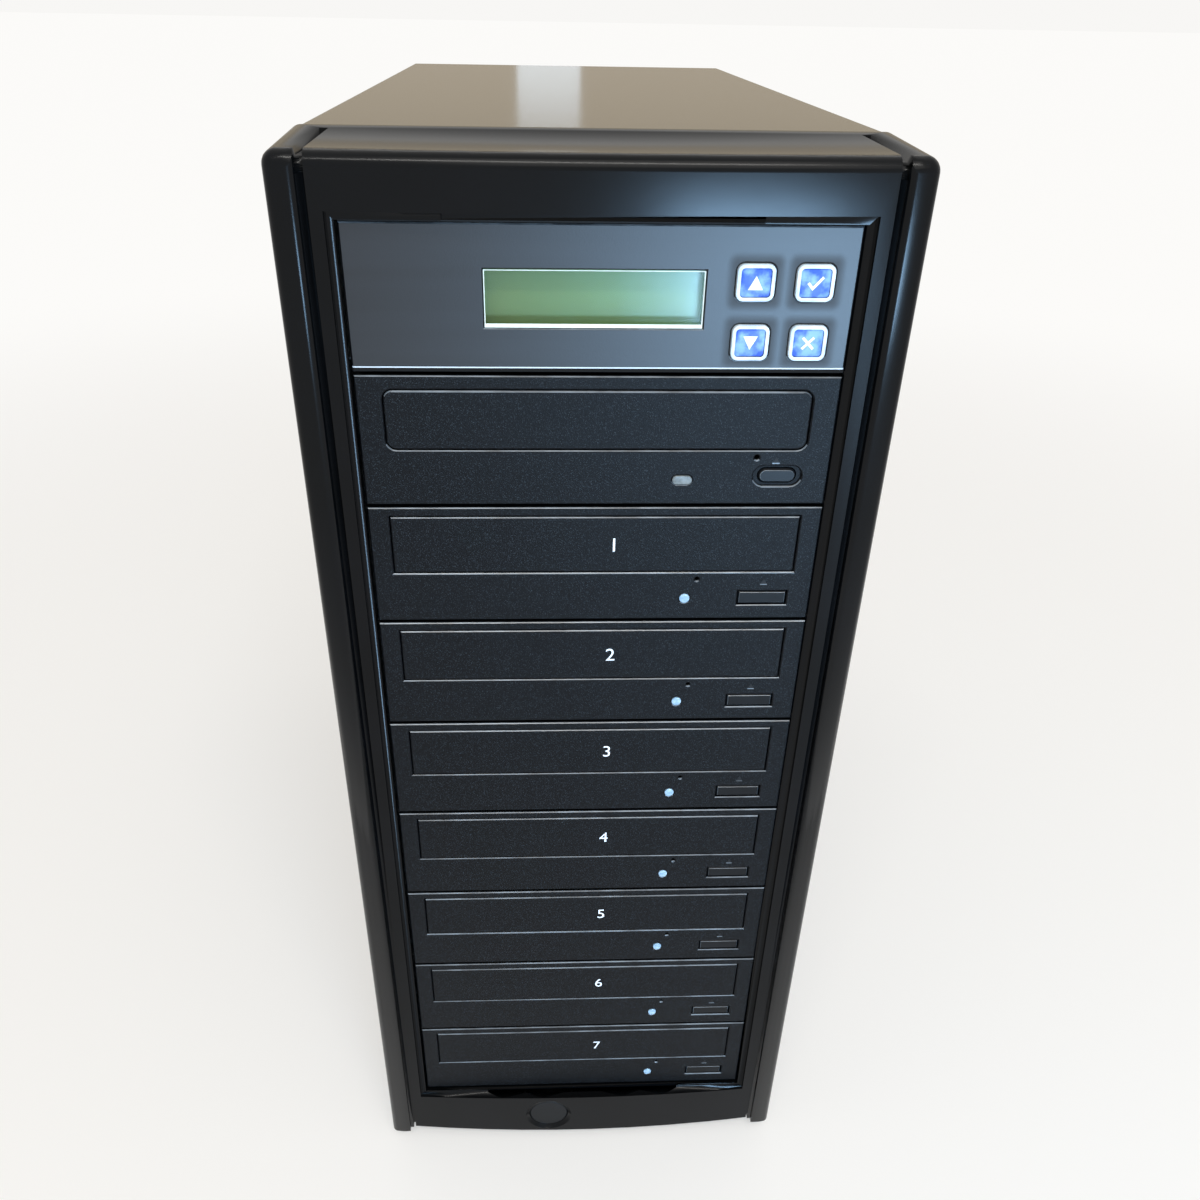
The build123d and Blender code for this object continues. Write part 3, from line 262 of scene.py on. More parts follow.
# Painted shade: the ring round each key is darkened towards the key.
dark = colour_mix(tree, shaded_rough_ring, film_tone.outputs["Color"], linear("#060708"))
level_z = add(tree, "SeparateXYZ", {"Vector": place}).outputs["Z"]
above_low = add(tree, "Math", {0: level_z, 1: film_low.z}, operation="SUBTRACT").outputs[0]
in_plate = add(tree, "Math", {0: above_low, 1: TRIM[0] * MM}, operation="LESS_THAN").outputs[0]
in_trim = add(tree, "Math", {0: above_low, 1: TRIM[1] * MM}, operation="LESS_THAN").outputs[0]
trimmed = colour_mix(tree, in_trim, dark, linear("#c3cdd6"))
edged = colour_mix(tree, in_plate, trimmed, linear("#040405"))
tree.links.new(edged, shader.inputs["Base Color"])
soft = add(tree, "MapRange", {"Value": shaded_rough_ring, "To Min": 0.4, "To Max": 0.65}).outputs["Result"]
dull = add(tree, "Math", {0: soft, 1: in_plate}, operation="ADD", use_clamp=True).outputs[0]
tree.links.new(dull, shader.inputs["Roughness"])

button_abs, tree, shader = surface("satin_moulded_abs", "#0a0c0e", 0.35, IOR=1.28)
drift(tree, shader, "#090b0d", "#0e1114", 8)
relief(tree, shader, 0.5, 0.01)

tray_abs, tree, shader = surface("spark_eroded_abs", "#17181a", 0.55, IOR=1.53)
drift(tree, shader, "#151618", "#1b1c1f", 30)
relief(tree, shader, 0.5, 0.03)

deck_abs, tree, shader = surface("glass_filled_abs", "#0e0f10", 0.6)
relief(tree, shader, 0.8, 0.03)

fan_pbt, tree, shader = surface("moulded_pbt", "#0d0d0e", 0.38, IOR=1.55)
relief(tree, shader, 2.0, 0.02)

nylon, tree, shader = surface("moulded_nylon", "#0f1012", 0.42, IOR=1.53)
relief(tree, shader, 0.8, 0.02)

# %% [markdown]
# ## Painted and plated steel
#
# The cover is folded sheet with a gloss enamel over a fine grain. Seen along the sheet it mirrors
# the room behind it. Its paint has small bright specks, which the same grain gives.

# %% Enamelled cover
enamel = sparkling(
    "gloss_enamel_on_steel", "#14120f", "#1b1814", 0.16, 1.6, 0.006, "#6b665c", 0.7
)

# %% [markdown]
# Chassis, rear panel and cage are zinc plated. The plating has dull spangles about 4 mm
# across and fine rolling lines along the sheet. Drive cases are brighter stamped steel, and the
# screws are zinc over a turned head.

# %% Plated steel
zinc, tree, shader = surface("zinc_plated_sheet", "#a3a6a8", 0.4, metallic=1.0)
place = add(tree, "TexCoord").outputs["Object"]
spangle = add(tree, "TexVoronoi", {"Vector": place, "Scale": per_metre(4.0)})
tone = add(tree, "SeparateColor", {"Color": spangle.outputs["Color"]}).outputs["Red"]
ramp = add(tree, "ValToRGB", {"Fac": tone})
ramp.color_ramp.elements[0].color = linear("#999da0")
ramp.color_ramp.elements[1].color = linear("#b0b3b5")
tree.links.new(ramp.outputs["Color"], shader.inputs["Base Color"])
rough = add(tree, "MapRange", {"Value": tone, "To Min": 0.36, "To Max": 0.44})
tree.links.new(rough.outputs["Result"], shader.inputs["Roughness"])
relief(tree, shader, 0.5, 0.01, stretch=(1, 1, 0.05))

stamped, tree, shader = surface("stamped_steel", "#b9bbbc", 0.3, metallic=1.0)
drift(tree, shader, "#adb0b2", "#c4c6c7", 20)
relief(tree, shader, 0.5, 0.008, stretch=(1, 0.05, 1))

screw_zinc, tree, shader = surface("zinc_plated_screw", "#b4b5b2", 0.35, metallic=1.0)
drift(tree, shader, "#a6a7a4", "#c2c3c0", 3)

# %% [markdown]
# ## Boards, rubber, sheath, print and glass
#
# Each small finish has its own gloss and a slight drift of colour. The key windows are tinted
# plastic over a pale back, so their blue is cloudy, and their lighter blue patches are partly
# painted reflection. The display's pane is clear acrylic, almost seen through, over a dark tint
# that takes nothing from the green below.

# %% Small finishes
board_green, tree, shader = surface("solder_mask_on_fibreglass", "#12402a", 0.35)
drift(tree, shader, "#0f3623", "#185236", 5)
rubber, tree, shader = surface("moulded_rubber", "#141414", 0.75, IOR=1.52)
relief(tree, shader, 0.8, 0.05)
sheath, tree, shader = surface("extruded_vinyl", "#8f1c16", 0.45, IOR=1.54)
drift(tree, shader, "#87180f", "#99221c", 12)
ink, tree, shader = surface("screen_printed_ink", "#e9edf2", 0.5)
drift(tree, shader, "#dfe5ee", "#f4f6f8", 1.5)
lens_plastic, tree, shader = surface("clear_light_pipe", "#86a6bd", 0.25, IOR=1.5)
drift(tree, shader, "#7d9cb3", "#9fbace", 1.2)
smoke_lens, tree, shader = surface("smoked_light_pipe", "#686d6d", 0.35, IOR=1.35)
drift(tree, shader, "#5f6565", "#7b8181", 2)
frame_white, tree, shader = surface("white_moulded_key_rim", "#c9dcea", 0.35, IOR=1.5)
drift(tree, shader, "#bdd2e4", "#dcebf4", 4)
# The lighter blue patches are partly painted reflection.
key_blue, tree, shader = surface("tinted_key_window", "#3f66cf", 0.3, IOR=1.3)
drift(tree, shader, "#2f55bd", "#7ba3e6", 4.0, 0.42, 0.64)
relief(tree, shader, 4, 0.12)
# Painted shade: a dark finish for the step inside each key's rim and the sheet over each cut
# triangle.
painted_shade_dark, tree, shader = surface("painted_shade_in_recesses", "#07090b", 0.6, IOR=1.4)
drift(tree, shader, "#060709", "#0a0c0e", 1)
pane, tree, shader = surface("polished_acrylic", "#26332a", 0.1, IOR=1.49, Alpha=0.12)
relief(tree, shader, 12, 0.004)
# Painted highlight: a pale finish on the pane's cut edge.
acrylic_edge_highlight, tree, shader = surface("painted_highlight_on_acrylic_edge", "#e6efe6", 0.3, IOR=1.49)
drift(tree, shader, "#dbe8dd", "#f2f7f0", 3)
works, tree, shader = surface("motor_and_pickup_plastic", "#26282a", 0.5)
drift(tree, shader, "#202224", "#2e3032", 8)

# %% [markdown]
# The display is a glass cell over a yellow-green film. It shows no text when the tower is off. It
# is a little yellower low on the left. Its lighter, cooler right side is painted light from the
# low cool panel on the right.

# %% Display glass
display_low, display_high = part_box("lcd_window")
display, tree, shader = surface("green_display_glass", "#7aa96c", 0.25, IOR=1.5)
place = add(tree, "SeparateXYZ", {"Vector": add(tree, "TexCoord").outputs["Object"]})
across = add(
    tree,
    "MapRange",
    {"Value": place.outputs["X"], "From Min": display_low.x, "From Max": display_high.x},
)
# Painted light: lighter and cooler towards the right.
painted_light_ramp = add(tree, "ValToRGB", {"Fac": across.outputs["Result"]})
painted_light_ramp.color_ramp.elements[0].color = linear("#728f60")
painted_light_ramp.color_ramp.elements[1].color = linear("#8dc4a4")
midway = painted_light_ramp.color_ramp.elements.new(0.6)
midway.color = linear("#7ba872")
cloud = add(
    tree,
    "TexNoise",
    {"Vector": add(tree, "TexCoord").outputs["Object"], "Scale": per_metre(7.0), "Detail": 3.0},
)
low_left = add(
    tree,
    "MapRange",
    {
        "Value": place.outputs["Z"],
        "From Min": display_high.z,
        "From Max": display_low.z,
        "To Max": 0.55,
    },
)
warm = add(
    tree,
    "Math",
    {0: cloud.outputs["Fac"], 1: low_left.outputs["Result"]},
    operation="MULTIPLY",
)
tinted = colour_mix(tree, warm.outputs[0], painted_light_ramp.outputs["Color"], linear("#7a8c46"))
tree.links.new(tinted, shader.inputs["Base Color"])

# %% [markdown]
# The nodes in this table get a finish, also those that a piece below replaces and those that only
# a grille or an open tray lets one see.

# %% Give the listed nodes their finish
finish_of = {
    "front_bezel": gloss_abs,
    "power_button": button_abs,
    "case_cover": enamel,
    "control_plate": film,
    "lcd_window": pane,
    "lcd_module": display,
    "feet": rubber,
    "case_screws": screw_zinc,
    "mains_inlet": nylon,
    "rocker_switch": nylon,
    "reader_faceplate": face_abs,
    "burner_faceplates": face_abs,
    "drive_leds": lens_plastic,
    "drive_pans": stamped,
    "drive_lids": stamped,
    "drive_decks": deck_abs,
    "drive_works": works,
    "data_cables": sheath,
    "power_switch": nylon,
}
finish_of.update(dict.fromkeys(("chassis_base", "rear_panel", "cage_sides", "cage_brace"), zinc))
# The controller bracket is zinc plated, but it gets black enamel: painted shade where it shows at
# the front.
finish_of.update({"psu_case": zinc, "controller_bracket": enamel})
finish_of.update(dict.fromkeys(("psu_board", "key_board", "controller_board"), board_green))
finish_of.update(dict.fromkeys(("fan_frames", "psu_fan_rotor"), fan_pbt))
finish_of.update(dict.fromkeys(("fan_rotor_lower", "fan_rotor_upper"), fan_pbt))
for bay in BAYS:
    finish_of[f"disc_tray_{bay}"] = tray_abs
    finish_of[f"tray_door_{bay}"] = face_abs
    finish_of[f"eject_button_{bay}"] = button_abs


def dress(thing, finish):
    """Puts one finish on every material slot of an object."""
    thing.data.materials.clear()
    thing.data.materials.append(finish)


for name, finish in finish_of.items():
    dress(nodes[name], finish)
print(len(finish_of), "nodes have a finish")

# %% [markdown]
# ## Moulded skins
#
# Gloss shows every facet and every knife edge, and a real moulding has neither: its curves are
# smooth, and each edge has a small radius that catches a thin line of light. The construction's
# own mesh is fixed, so a skin is made from a copy of it. Loose triangles are merged, flat areas
# are joined back into whole faces, edges over 30 degrees get a narrow bevel, and normals weighted
# by area keep the flats flat. Faces that look up and forward may take a second, light grey
# finish: on the fronts those are the thin edges that catch the light, so it is a painted
# highlight.

# %% Skin made from a node
def skin(node_name, name, body, finish, edge_mm=0.25, segments=2, slanted=None):
    """A copy of a node with merged points and smooth shading, and bevelled where asked.

    A face takes the slanted finish, a painted highlight, if its normal points up by over 0.3
    and forward by over 0.3.
    """
    mesh = bpy.data.meshes.new(name)
    shape = bmesh.new()
    shape.from_mesh(nodes[node_name].data)
    bmesh.ops.remove_doubles(shape, verts=shape.verts, dist=0.002 * MM)
    if edge_mm:
        bmesh.ops.dissolve_limit(
            shape, angle_limit=radians(0.4), verts=shape.verts, edges=shape.edges
        )
    shape.to_mesh(mesh)
    shape.free()
    mesh.shade_smooth()
    mesh.set_sharp_from_angle(angle=radians(30))
    piece = bpy.data.objects.new(name, mesh)
    bpy.context.scene.collection.objects.link(piece)
    if edge_mm:
        bevel = piece.modifiers.new("edge", "BEVEL")
        bevel.width = edge_mm * MM
        bevel.segments = segments
        bevel.limit_method = "ANGLE"
        bevel.angle_limit = radians(30)
        bevel.use_clamp_overlap = True
        weighted = piece.modifiers.new("flats", "WEIGHTED_NORMAL")
        weighted.keep_sharp = True
    dress(piece, finish)
    if slanted:
        mesh.materials.append(slanted)
        normals = np.empty(len(mesh.polygons) * 3)
        mesh.polygons.foreach_get("normal", normals)
        _, forward_part, upward_part = normals.reshape(-1, 3).T
        upward = (upward_part > 0.3) & (forward_part < -0.3)
        mesh.polygons.foreach_set("material_index", upward.astype(np.int32))
    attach(piece, body)
    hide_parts(node_name)
    print(name, len(mesh.polygons), "faces")
    return piece


skin("case_cover", "cover_sheet", "tower", enamel, 0.2, 2)
skin("control_plate", "control_panel_film", "tower", film, 0.1, 2, painted_highlight_abs)
skin("reader_faceplate", "reader_front", "tower", face_abs, 0.08, 1, painted_highlight_abs)
skin("burner_faceplates", "burner_fronts", "tower", face_abs, 0.08, 1, painted_highlight_abs)
skin("power_button", "power_button_cap", "power_cap", button_abs, 0.2, 2)
for bay in BAYS:
    skin(f"tray_door_{bay}", f"door_{bay}", f"tray_{bay}", face_abs, 0.08, 1, painted_highlight_abs)

# %% [markdown]
# The bezel shows long clear reflections, and there averaged normals still waver, because its
# facets are long and thin. Its form is known, though: between the grooves the front is one wide
# crown, and the top edge one roll. So the normals there are worked out from the form.

# %% Bezel with worked-out normals
CROWN_HALF, CROWN_RISE = 82.5, 3.0  # half width and bulge between the grooves, in mm
ROLL = 4.2                         # radius of the top edge, in mm
ROLL_TOP = 442.2                   # height of the roll's upper end, in mm


def formed_normals(mesh):
    """Normals of the bezel's front from its form, set on the mesh; gives how many were set.

    On the crown a normal leans sideways by x over the crown's radius. On the roll it also turns
    upwards: its upward part is the climb above the roll's centre over the roll's radius. A corner
    is changed only on these two forms, and only where its face looks roughly the same way.
    """
    points = np.empty(len(mesh.vertices) * 3)
    mesh.vertices.foreach_get("co", points)
    corner = np.empty(len(mesh.loops), dtype=np.int32)
    mesh.loops.foreach_get("vertex_index", corner)
    x, y, z = (points.reshape(-1, 3)[corner] / MM).T
    normals = np.empty(len(corner) * 3)
    mesh.corner_normals.foreach_get("vector", normals)
    normals = normals.reshape(-1, 3)
    flat = np.empty(len(mesh.polygons) * 3)
    mesh.polygons.foreach_get("normal", flat)
    sizes = np.empty(len(mesh.polygons), dtype=np.int32)
    mesh.polygons.foreach_get("loop_total", sizes)
    flat = np.repeat(flat.reshape(-1, 3), sizes, axis=0)
    radius = (CROWN_HALF**2 + CROWN_RISE**2) / (2 * CROWN_RISE)
    lean = np.clip(x / radius, -0.1, 0.1)
    depth = y - (points[1::3].min() / MM + radius * (1 - np.sqrt(1 - lean**2)))
    climb = np.clip((z - (ROLL_TOP - ROLL)) / ROLL, 0, 1)
    front = np.sqrt(1 - climb**2)
    formed = np.column_stack([front * lean, -front * np.sqrt(1 - lean**2), climb])
    on_roll = (z > ROLL_TOP - ROLL - 0.05) & (depth < ROLL + 0.15)
    on_form = (np.abs(x) < CROWN_HALF - 1) & (on_roll | (depth < 0.06)) & (depth > -0.1)
    chosen = on_form & ((formed * flat).sum(axis=1) > 0.7)
    normals[chosen] = formed[chosen]
    mesh.normals_split_custom_set(normals.tolist())
    return int(chosen.sum())


bezel = skin("front_bezel", "bezel_moulding", "tower", gloss_abs, 0)
print(formed_normals(bezel.data), "corners of the bezel follow its form")

# %% [markdown]
# ## Keys, buttons and light pipes
#
# These small caps are all one shape: a rounded rectangle carried forwards while it shrinks. The
# profile says how far in and how far forward each step lies, so one function makes a key with its
# raised rim, a button with a broken edge and a domed light pipe.

# %% A rounded rectangle carried along a profile
ARC = 6                            # steps in each rounded corner


def carried(low, high, radius, profile, bands):
    """Points, faces and finishes of a cap whose front faces -Y.

    The corners' centres lie one radius in from the rectangle's corners. Step k moves the outline
    in by profile[k][0] and to profile[k][1] in front of low.y, all in mm, and the radius shrinks
    with it. Bands give the finish of each ring of faces, and of the front at the end.
    """
    inset, out = np.array(profile).T[:, :, None] * MM
    half = np.array([high.x - low.x, high.z - low.z]) / 2
    middle = np.array([high.x + low.x, high.z + low.z]) / 2
    turn = np.linspace(0, pi / 2, ARC + 1)
    angle = (turn + np.arange(4)[:, None] * pi / 2).ravel()
    side = np.repeat(np.array([[1, 1], [-1, 1], [-1, -1], [1, -1]]), ARC + 1, axis=0)
    bend = np.maximum(radius * MM - inset, 0.02 * MM)
    x = middle[0] + side[:, 0] * (half[0] - inset - bend) + bend * np.cos(angle)
    z = middle[1] + side[:, 1] * (half[1] - inset - bend) + bend * np.sin(angle)
    y = low.y - out + 0 * x
    points = np.stack([x, y, z], axis=2).reshape(-1, 3)
    count = len(angle)
    grid = np.arange(len(points)).reshape(-1, count)
    nxt = np.roll(grid, -1, axis=1)
    walls = np.stack([grid[:-1], nxt[:-1], nxt[1:], grid[1:]], axis=2).reshape(-1, 4)
    faces = walls.tolist() + [grid[-1].tolist(), grid[0][::-1].tolist()]
    finishes = np.repeat(bands[:-1], count).tolist() + [bands[-1], bands[0]]
    return points, faces, finishes


def assembled(name, parts, finishes, body, *replaced):
    """One object from several sets of points and faces, each set numbered after the last."""
    starts = np.cumsum([0] + [len(points) for points, _, _ in parts])
    faces = [
        [int(start) + index for index in face]
        for start, (_, part_faces, _) in zip(starts, parts)
        for face in part_faces
    ]
    mesh = bpy.data.meshes.new(name)
    mesh.from_pydata(np.concatenate([points for points, _, _ in parts]), [], faces)
    for finish in finishes:
        mesh.materials.append(finish)
    slots = np.concatenate([part[2] for part in parts]).astype(np.int32)
    mesh.polygons.foreach_set("material_index", slots)
    mesh.shade_smooth()
    mesh.set_sharp_from_angle(angle=radians(35))
    piece = bpy.data.objects.new(name, mesh)
    bpy.context.scene.collection.objects.link(piece)
    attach(piece, body)
    if replaced:
        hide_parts(*replaced)
    print(name, len(mesh.polygons), "faces")
    return piece


def flat_shape(outline, y, finish=0):
    """One face with the given (x, z) points, which run round to the left seen from the front."""
    outline = np.asarray(outline, dtype=float)
    points = np.column_stack([outline[:, 0], np.full(len(outline), y), outline[:, 1]])
    return points, [list(range(len(points)))], [finish]


# %% [markdown]
# A key is a tinted window in a raised pale rim. The four marks are plain ones: two arrows, a tick
# for accepting and a cross for going back. A mark is printed on the window, a hair in front of
# it, and rides on its key.

# %% Keys with their marks
RIM = 1.15                         # width of a key's rim, in mm
KEY_PROFILE = (
    (0, -2.8), (0, -0.35), (0.12, -0.1), (0.35, 0), (RIM - 0.2, 0), (RIM, -0.15),
    (RIM + 0.1, -0.5), (RIM + 0.35, -0.45),
)
# Band 2, the step down from the rim to the window, is painted shade.
KEY_BANDS = (0, 0, 0, 0, 0, 2, 1, 1)
PRINT = 0.03                       # thickness of the print, in mm


def stroke(points, width):
    """Outline of a bent line: each point moved half a width to either side, joints mitred."""
    points = np.asarray(points, dtype=float)
    along = np.diff(points, axis=0)
    along /= np.linalg.norm(along, axis=1)[:, None]
    first = np.vstack([along[:1], along])
    last = np.vstack([along, along[-1:]])
    bisector = first + last
    aside = np.column_stack([-bisector[:, 1], bisector[:, 0]])
    aside /= (aside * np.column_stack([-first[:, 1], first[:, 0]])).sum(axis=1)[:, None]
    return np.vstack([points - aside * width / 2, (points + aside * width / 2)[::-1]])


MARKS = {
    "key_up": [[(-2.2, -2.0), (2.2, -2.0), (0, 2.0)]],
    "key_down": [[(2.2, 2.0), (-2.2, 2.0), (0, -2.0)]],
    "key_enter": [stroke([(-2.1, 0.1), (-0.7, -1.5), (2.2, 1.7)], 0.8)],
    "key_cancel": [
        stroke([(-1.7, -1.7), (1.7, 1.7)], 0.8),
        stroke([(-1.7, 1.7), (1.7, -1.7)], 0.8),
    ],
}
for key, shapes in MARKS.items():
    low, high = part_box(key)
    cap = carried(low, high, 2.2, KEY_PROFILE, KEY_BANDS)
    assembled(f"{key}_cap", [cap], (frame_white, key_blue, painted_shade_dark), f"{key}_cap", key)
    heart = np.array([low.x + high.x, low.z + high.z]) / 2
    front = low.y + 0.3 * MM
    prints = [
        flat_shape(heart + np.array(shape) * MM, front - index * 0.01 * MM)
        for index, shape in enumerate(shapes)
    ]
    assembled(f"{key}_mark", prints, (ink,), f"{key}_cap")

# %% [markdown]
# An eject button's upper edge is broad and slanted, and light runs along it. The cap's bevel, all
# round, takes the light grey finish, a painted highlight. Behind the cap a short stem goes to the
# switch. The light pipes end in a slight dome: the one on the reader is oblong and smoky, those on
# the burners are round and clear.

# %% Eject buttons and light pipes
BUTTON_PROFILE = ((0, -5.0), (0, -0.75), (0.5, -0.12), (0.62, 0))
BUTTON_BANDS = (0, 0, 1, 0)
STEM_PROFILE = ((0, -9.5), (0, -4.9))
STEM_HALF = 1.5                    # half the width of the square stem, in mm
for bay in BAYS:
    low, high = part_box(f"eject_button_{bay}")
    radius = (high.z - low.z) / MM / 2 if bay == 1 else 0.15
    cap = carried(low, high, radius, BUTTON_PROFILE, BUTTON_BANDS)
    heart = (low + high) / 2
    reach = Vector((STEM_HALF, 0, STEM_HALF)) * MM
    stem_low = Vector((heart.x, low.y, heart.z)) - reach
    stem = carried(stem_low, stem_low + 2 * reach, 0.1, STEM_PROFILE, (0, 0))
    name = f"eject_button_{bay}"
    assembled(f"{name}_cap", [cap, stem], (button_abs, painted_highlight_abs), f"eject_{bay}", name)

PIPE_PROFILE = ((0, -8.2), (0, -0.15), (0.2, -0.03), (0.6, 0))
UNDER_DOOR = 20                    # the light pipe lies within this reach below its door, in mm
loose = nodes["drive_leds"].data
ends = np.empty(len(loose.vertices) * 3)
loose.vertices.foreach_get("co", ends)
ends = ends.reshape(-1, 3)
pipes = []
for bay in BAYS:
    door_low, door_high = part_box(f"tray_door_{bay}")
    band = (ends[:, 2] < door_low.z) & (ends[:, 2] > door_low.z - UNDER_DOOR * MM)
    low, high = Vector(ends[band].min(axis=0)), Vector(ends[band].max(axis=0))
    tone = 1 if bay == 1 else 0
    radius = (high.z - low.z) / MM / 2
    pipes.append(carried(low, high, radius, PIPE_PROFILE, (tone,) * 4))
assembled("drive_light_pipes", pipes, (lens_plastic, smoke_lens), "tower", "drive_leds")

# %% [markdown]
# ## Numbers and engraved marks
#
# Each burner's door has its plain number, so that a failed copy can be told apart. A text object
# is turned into a mesh first and then its points are placed on the door. Above each eject button
# a small triangle is cut into the front. A flat dark sheet over it is painted shade, and a light
# grey strip along its lower edge is a painted highlight.

# %% Door numbers
DIGIT = 5.0                        # height of a number, in mm
CAP_SHARE = 0.7                    # a digit's height as a share of the text size
ASIDE = 6                          # the numbers stand this far right of the middle, in mm
burners = list(BAYS)[1:]
for number, bay in enumerate(burners, start=1):
    text = bpy.data.curves.new(f"number_{number}", "FONT")
    text.body = str(number)
    text.size = DIGIT * MM / CAP_SHARE
    text.align_x = "CENTER"
    holder = bpy.data.objects.new(f"number_{number}", text)
    mesh = bpy.data.meshes.new_from_object(holder)
    bpy.data.objects.remove(holder)
    low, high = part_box(f"tray_door_{bay}")
    flat = np.empty(len(mesh.vertices) * 3)
    mesh.vertices.foreach_get("co", flat)
    flat = flat.reshape(-1, 3)
    lift = (low.z + high.z) / 2 - (flat[:, 1].max() + flat[:, 1].min()) / 2
    placed = np.column_stack(
        [flat[:, 0] + ASIDE * MM, np.full(len(flat), low.y - PRINT * MM), flat[:, 1] + lift]
    )
    mesh.vertices.foreach_set("co", placed.ravel())
    piece = bpy.data.objects.new(f"door_number_{number}", mesh)
    bpy.context.scene.collection.objects.link(piece)
    dress(piece, ink)
    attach(piece, f"tray_{bay}")
print(len(burners), "door numbers")

# %% Engraved triangles: painted shade, with a painted highlight on the lower edge
MARK = 2.3                         # width of a triangle, in mm
RISE = dict.fromkeys(BAYS, 6.4)    # its height above the middle of the button, in mm
RISE[1] = 5.5
SHIFT = {1: -0.9}                  # and how far to the right, on the reader only
cuts = []
for bay in BAYS:
    low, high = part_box(f"eject_button_{bay}")
    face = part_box(f"tray_door_{bay}")[0].y - 0.02 * MM
    heart = np.array([low.x + high.x, low.z + high.z]) / 2
    heart += np.array([SHIFT.get(bay, 0), RISE[bay]]) * MM
    shape = np.array([(-1, -0.8), (1, -0.8), (0, 0.8)]) * MARK / 2 * MM
    lit = np.array([(-1.05, -1.1), (1.05, -1.1), (1, -0.8), (-1, -0.8)]) * MARK / 2 * MM
    cuts.append(flat_shape(heart + shape, face, 0))
    cuts.append(flat_shape(heart + lit, face, 1))
assembled("eject_marks", cuts, (painted_shade_dark, painted_highlight_abs), "tower")

# %% [markdown]
# The display's pane has a cut edge. Its pale line is a painted highlight, widest along the bottom,
# where the light from above falls on it.

# %% Painted highlight on the cut edge of the display's pane
low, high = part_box("lcd_window")
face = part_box("control_plate")[0].y + 0.05 * MM
WIDTHS = {"low": 1.05, "high": 0.3, "left": 0.25, "right": 0.3}
outer = np.array([(low.x, low.z), (high.x, low.z), (high.x, high.z), (low.x, high.z)])
moves = [("left", "low"), ("right", "low"), ("right", "high"), ("left", "high")]
signs = np.array([(1, 1), (-1, 1), (-1, -1), (1, -1)])
inner = outer + signs * np.array([[WIDTHS[i], WIDTHS[k]] for i, k in moves]) * MM
near = np.column_stack([outer[:, 0], np.full(4, face), outer[:, 1]])
far = np.column_stack([inner[:, 0], np.full(4, face + 0.22 * MM), inner[:, 1]])
sides = [[k, (k + 1) % 4, 4 + (k + 1) % 4, 4 + k] for k in range(4)]
assembled("display_edge", [(np.vstack([near, far]), sides, [0] * 4)], (acrylic_edge_highlight,), "tower")

# %% [markdown]
# The front plates stop 0.7 mm short of the bezel's opening. The photograph shows that gap black.
# Here light from the rear grilles would show through it above the control plate as white dashes,
# so a strip of black foam is assumed in the gap. It lies behind the plate's front and isn't seen.

# %% Foam strip over the control plate
STRIP_PROFILE = ((0, -2.8), (0, -0.9))  # from its rear to its front, behind the plate's front
PRESSED = 0.02                     # how far the foam is pressed in above and below, in mm
OPENING_GAP = 0.7                  # between the plate and the bezel's opening, in mm
strip_low, strip_high = (corner.copy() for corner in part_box("control_plate"))
strip_low.z = strip_high.z - PRESSED * MM
strip_high.z += (OPENING_GAP + PRESSED) * MM
strip_form = carried(strip_low, strip_high, 0.1, STRIP_PROFILE, (0, 0))
foam_strip = assembled("foam_strip", [strip_form], (rubber,), "tower")
print("foam strip", [round(side / MM, 2) for side in foam_strip.dimensions], "mm")

# %% [markdown]
# ## Floor and light
#
# The tower stands on a plain pale floor. Near it the floor takes the tower's soft shadow, and
# further off it turns to plain pale paper for everything that sees it.

# %% Floor
FLOOR = 60.0                       # metres, far enough to reach the horizon
CLEAR = (0.35, 1.7)                # the paper turns plainly pale between these distances, in m
PALE = (0.42, 0.97)                # how pale it is made at the first and at the last of them


def seen_rays(tree):
    """1 for a ray from the camera, a mirror or a glass, 0 for a ray that only gathers light."""
    rays = add(tree, "LightPath").outputs
    seen = rays["Is Camera Ray"]
    for kind in ("Is Glossy Ray", "Is Transmission Ray"):
        seen = add(tree, "Math", {0: seen, 1: rays[kind]}, operation="MAXIMUM").outputs[0]
    return seen


corners = np.array([[-1, -1, 0], [1, -1, 0], [1, 1, 0], [-1, 1, 0]]) * FLOOR / 2
floor_mesh = bpy.data.meshes.new("floor")
floor_mesh.from_pydata(corners.tolist(), [], [(0, 1, 2, 3)])
floor = bpy.data.objects.new("floor", floor_mesh)
bpy.context.scene.collection.objects.link(floor)
paper, tree, shader = surface("pale_paper", "#f4f2ef", 0.9)
away = add(tree, "VectorMath", {0: add(tree, "TexCoord").outputs["Object"]}, operation="LENGTH")
far_off = add(
    tree,
    "MapRange",
    {
        "Value": away.outputs["Value"],
        "From Min": CLEAR[0],
        "From Max": CLEAR[1],
        "To Min": PALE[0],
        "To Max": PALE[1],
    },
    interpolation_type="SMOOTHSTEP",
)
pale = add(tree, "Math", {0: far_off.outputs["Result"], 1: seen_rays(tree)}, operation="MULTIPLY")
glow = add(tree, "Emission", {"Color": linear("#fdfcfa"), "Strength": 1.0})
both = add(tree, "MixShader", {0: pale.outputs[0], 1: shader.outputs[0], 2: glow.outputs[0]})
tree.links.new(both.outputs[0], tree.nodes["Material Output"].inputs["Surface"])
dress(floor, paper)

# %% [markdown]
# The world gives even light from all sides. What a camera, a mirror or a glass sees of it is
# paler than what it lends as light, so the picture's background stays nearly white.

# %% World
world = bpy.data.worlds.new("studio")
bpy.context.scene.world = world
world.use_nodes = True
tree = world.node_tree
strength = add(tree, "MapRange", {"Value": seen_rays(tree), "To Min": 0.6, "To Max": 0.97})
backdrop = tree.nodes["Background"]
backdrop.inputs["Color"].default_value = linear("#fbfaf8")
tree.links.new(strength.outputs["Result"], backdrop.inputs["Strength"])

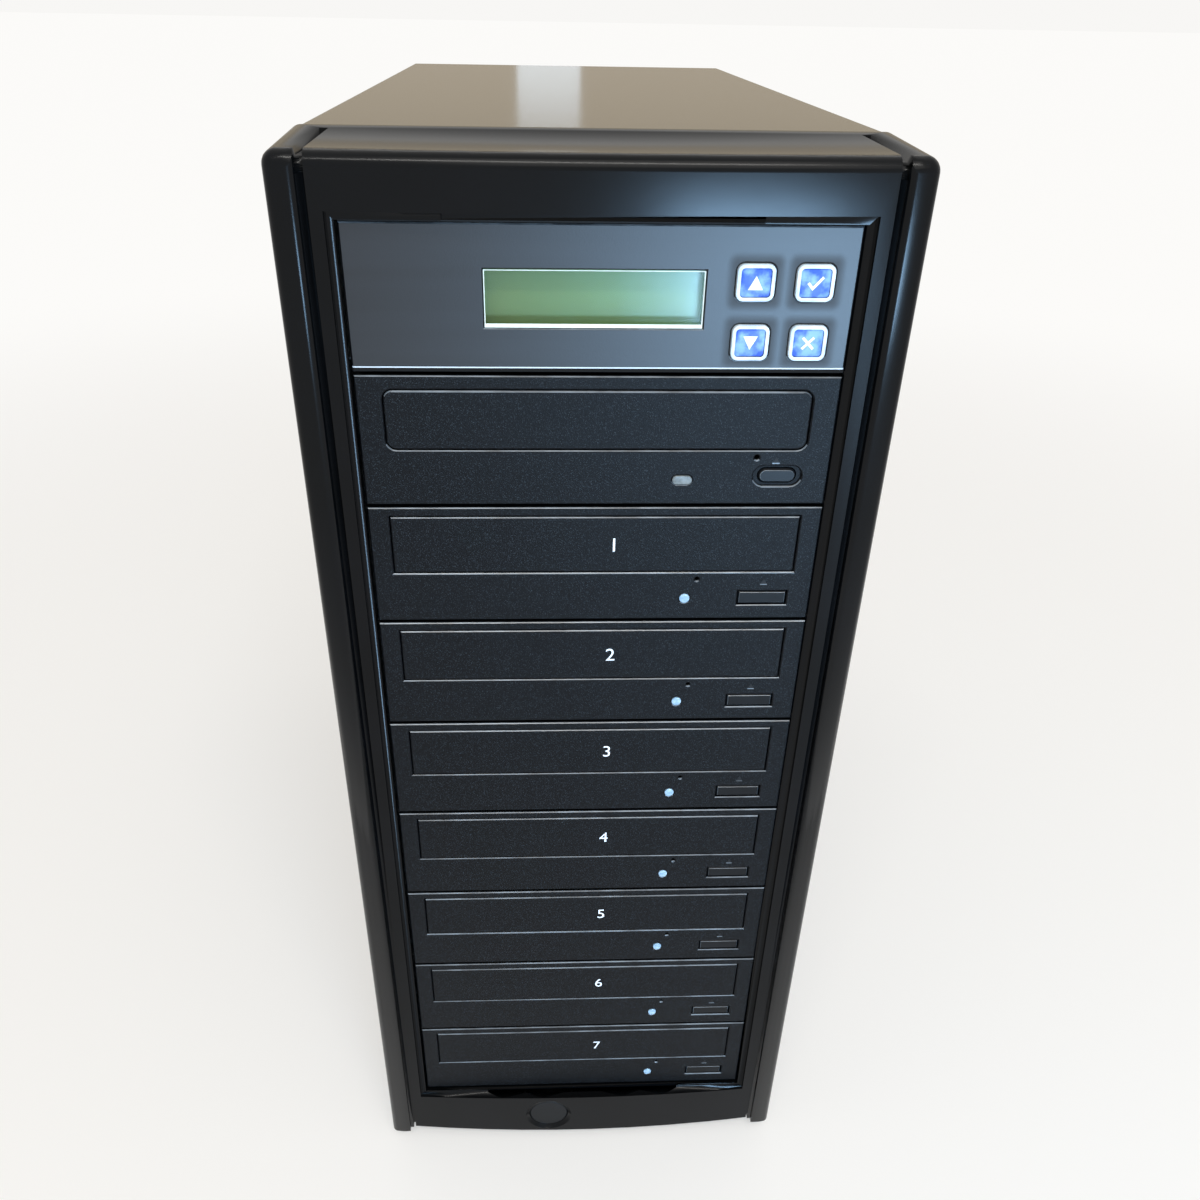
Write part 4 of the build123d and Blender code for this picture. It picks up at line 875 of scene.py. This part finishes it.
# %% [markdown]
# One broad soft light hangs overhead and in front, with a narrow tube under it. A low cool panel
# on the right gives the satin parts their slow change from dark to blue. It shines forward only,
# so the floor beside it stays even. A small pale window far behind is mirrored in the case's top.

# %% Soft lamps
def soft_light(name, place, target, size, watts, colour, spread=pi):
    """A rectangular lamp at place that faces target and shines within the angle of its spread."""
    lamp = bpy.data.lights.new(name, "AREA")
    lamp.shape = "RECTANGLE"
    lamp.size, lamp.size_y = size
    lamp.energy = watts
    lamp.color = linear(colour)[:3]
    lamp.spread = spread
    holder = bpy.data.objects.new(name, lamp)
    holder.location = place
    holder.rotation_euler = (Vector(target) - Vector(place)).to_track_quat("-Z", "Y").to_euler()
    holder.visible_camera = False
    bpy.context.scene.collection.objects.link(holder)
    return holder


NARROW = radians(100)
soft_light("overhead", (0.3, -1.7, 2.4), (0, -0.1, 0.2), (1.6, 2.2), 20, "#fffaf4")
soft_light("ceiling_tube", (0, -1.5, 2.3), (0, -0.2, 0.3), (1.6, 0.12), 22, "#fffdf8")
soft_light("low_panel", (0.38, -1.4, 0.14), (0.38, 0, 0.14), (0.34, 0.26), 6.2, "#a9d6ff", NARROW)
soft_light("far_window", (0.02, 3.2, 0.62), (0.02, 0, 0.62), (0.2, 0.26), 0.16, "#d8ecff")
print("4 soft lamps")

# %% [markdown]
# At a grazing angle the enamel mirrors whatever stands behind the tower just above the horizon.
# In the photograph the top looks warm and brown, as if it mirrored a warm wall. So a plain taupe
# card stands there, outside the picture.

# %% Card behind the tower
CARD = ((-4, 4), (0.49, 1.6))      # across and up, in metres
CARD_BACK = 3.4                    # distance behind the origin, past the far window, in metres
card_points = [(x, CARD_BACK, z) for z in CARD[1] for x in CARD[0]]
card_mesh = bpy.data.meshes.new("card")
card_mesh.from_pydata(card_points, [], [(0, 1, 3, 2)])
card = bpy.data.objects.new("card", card_mesh)
bpy.context.scene.collection.objects.link(card)
taupe, tree, shader = surface("taupe_card", "#000000", 1.0, IOR=1.0)
shader.inputs["Emission Color"].default_value = linear("#cbbea8")
shader.inputs["Emission Strength"].default_value = 1.0
dress(card, taupe)
card.visible_camera = False
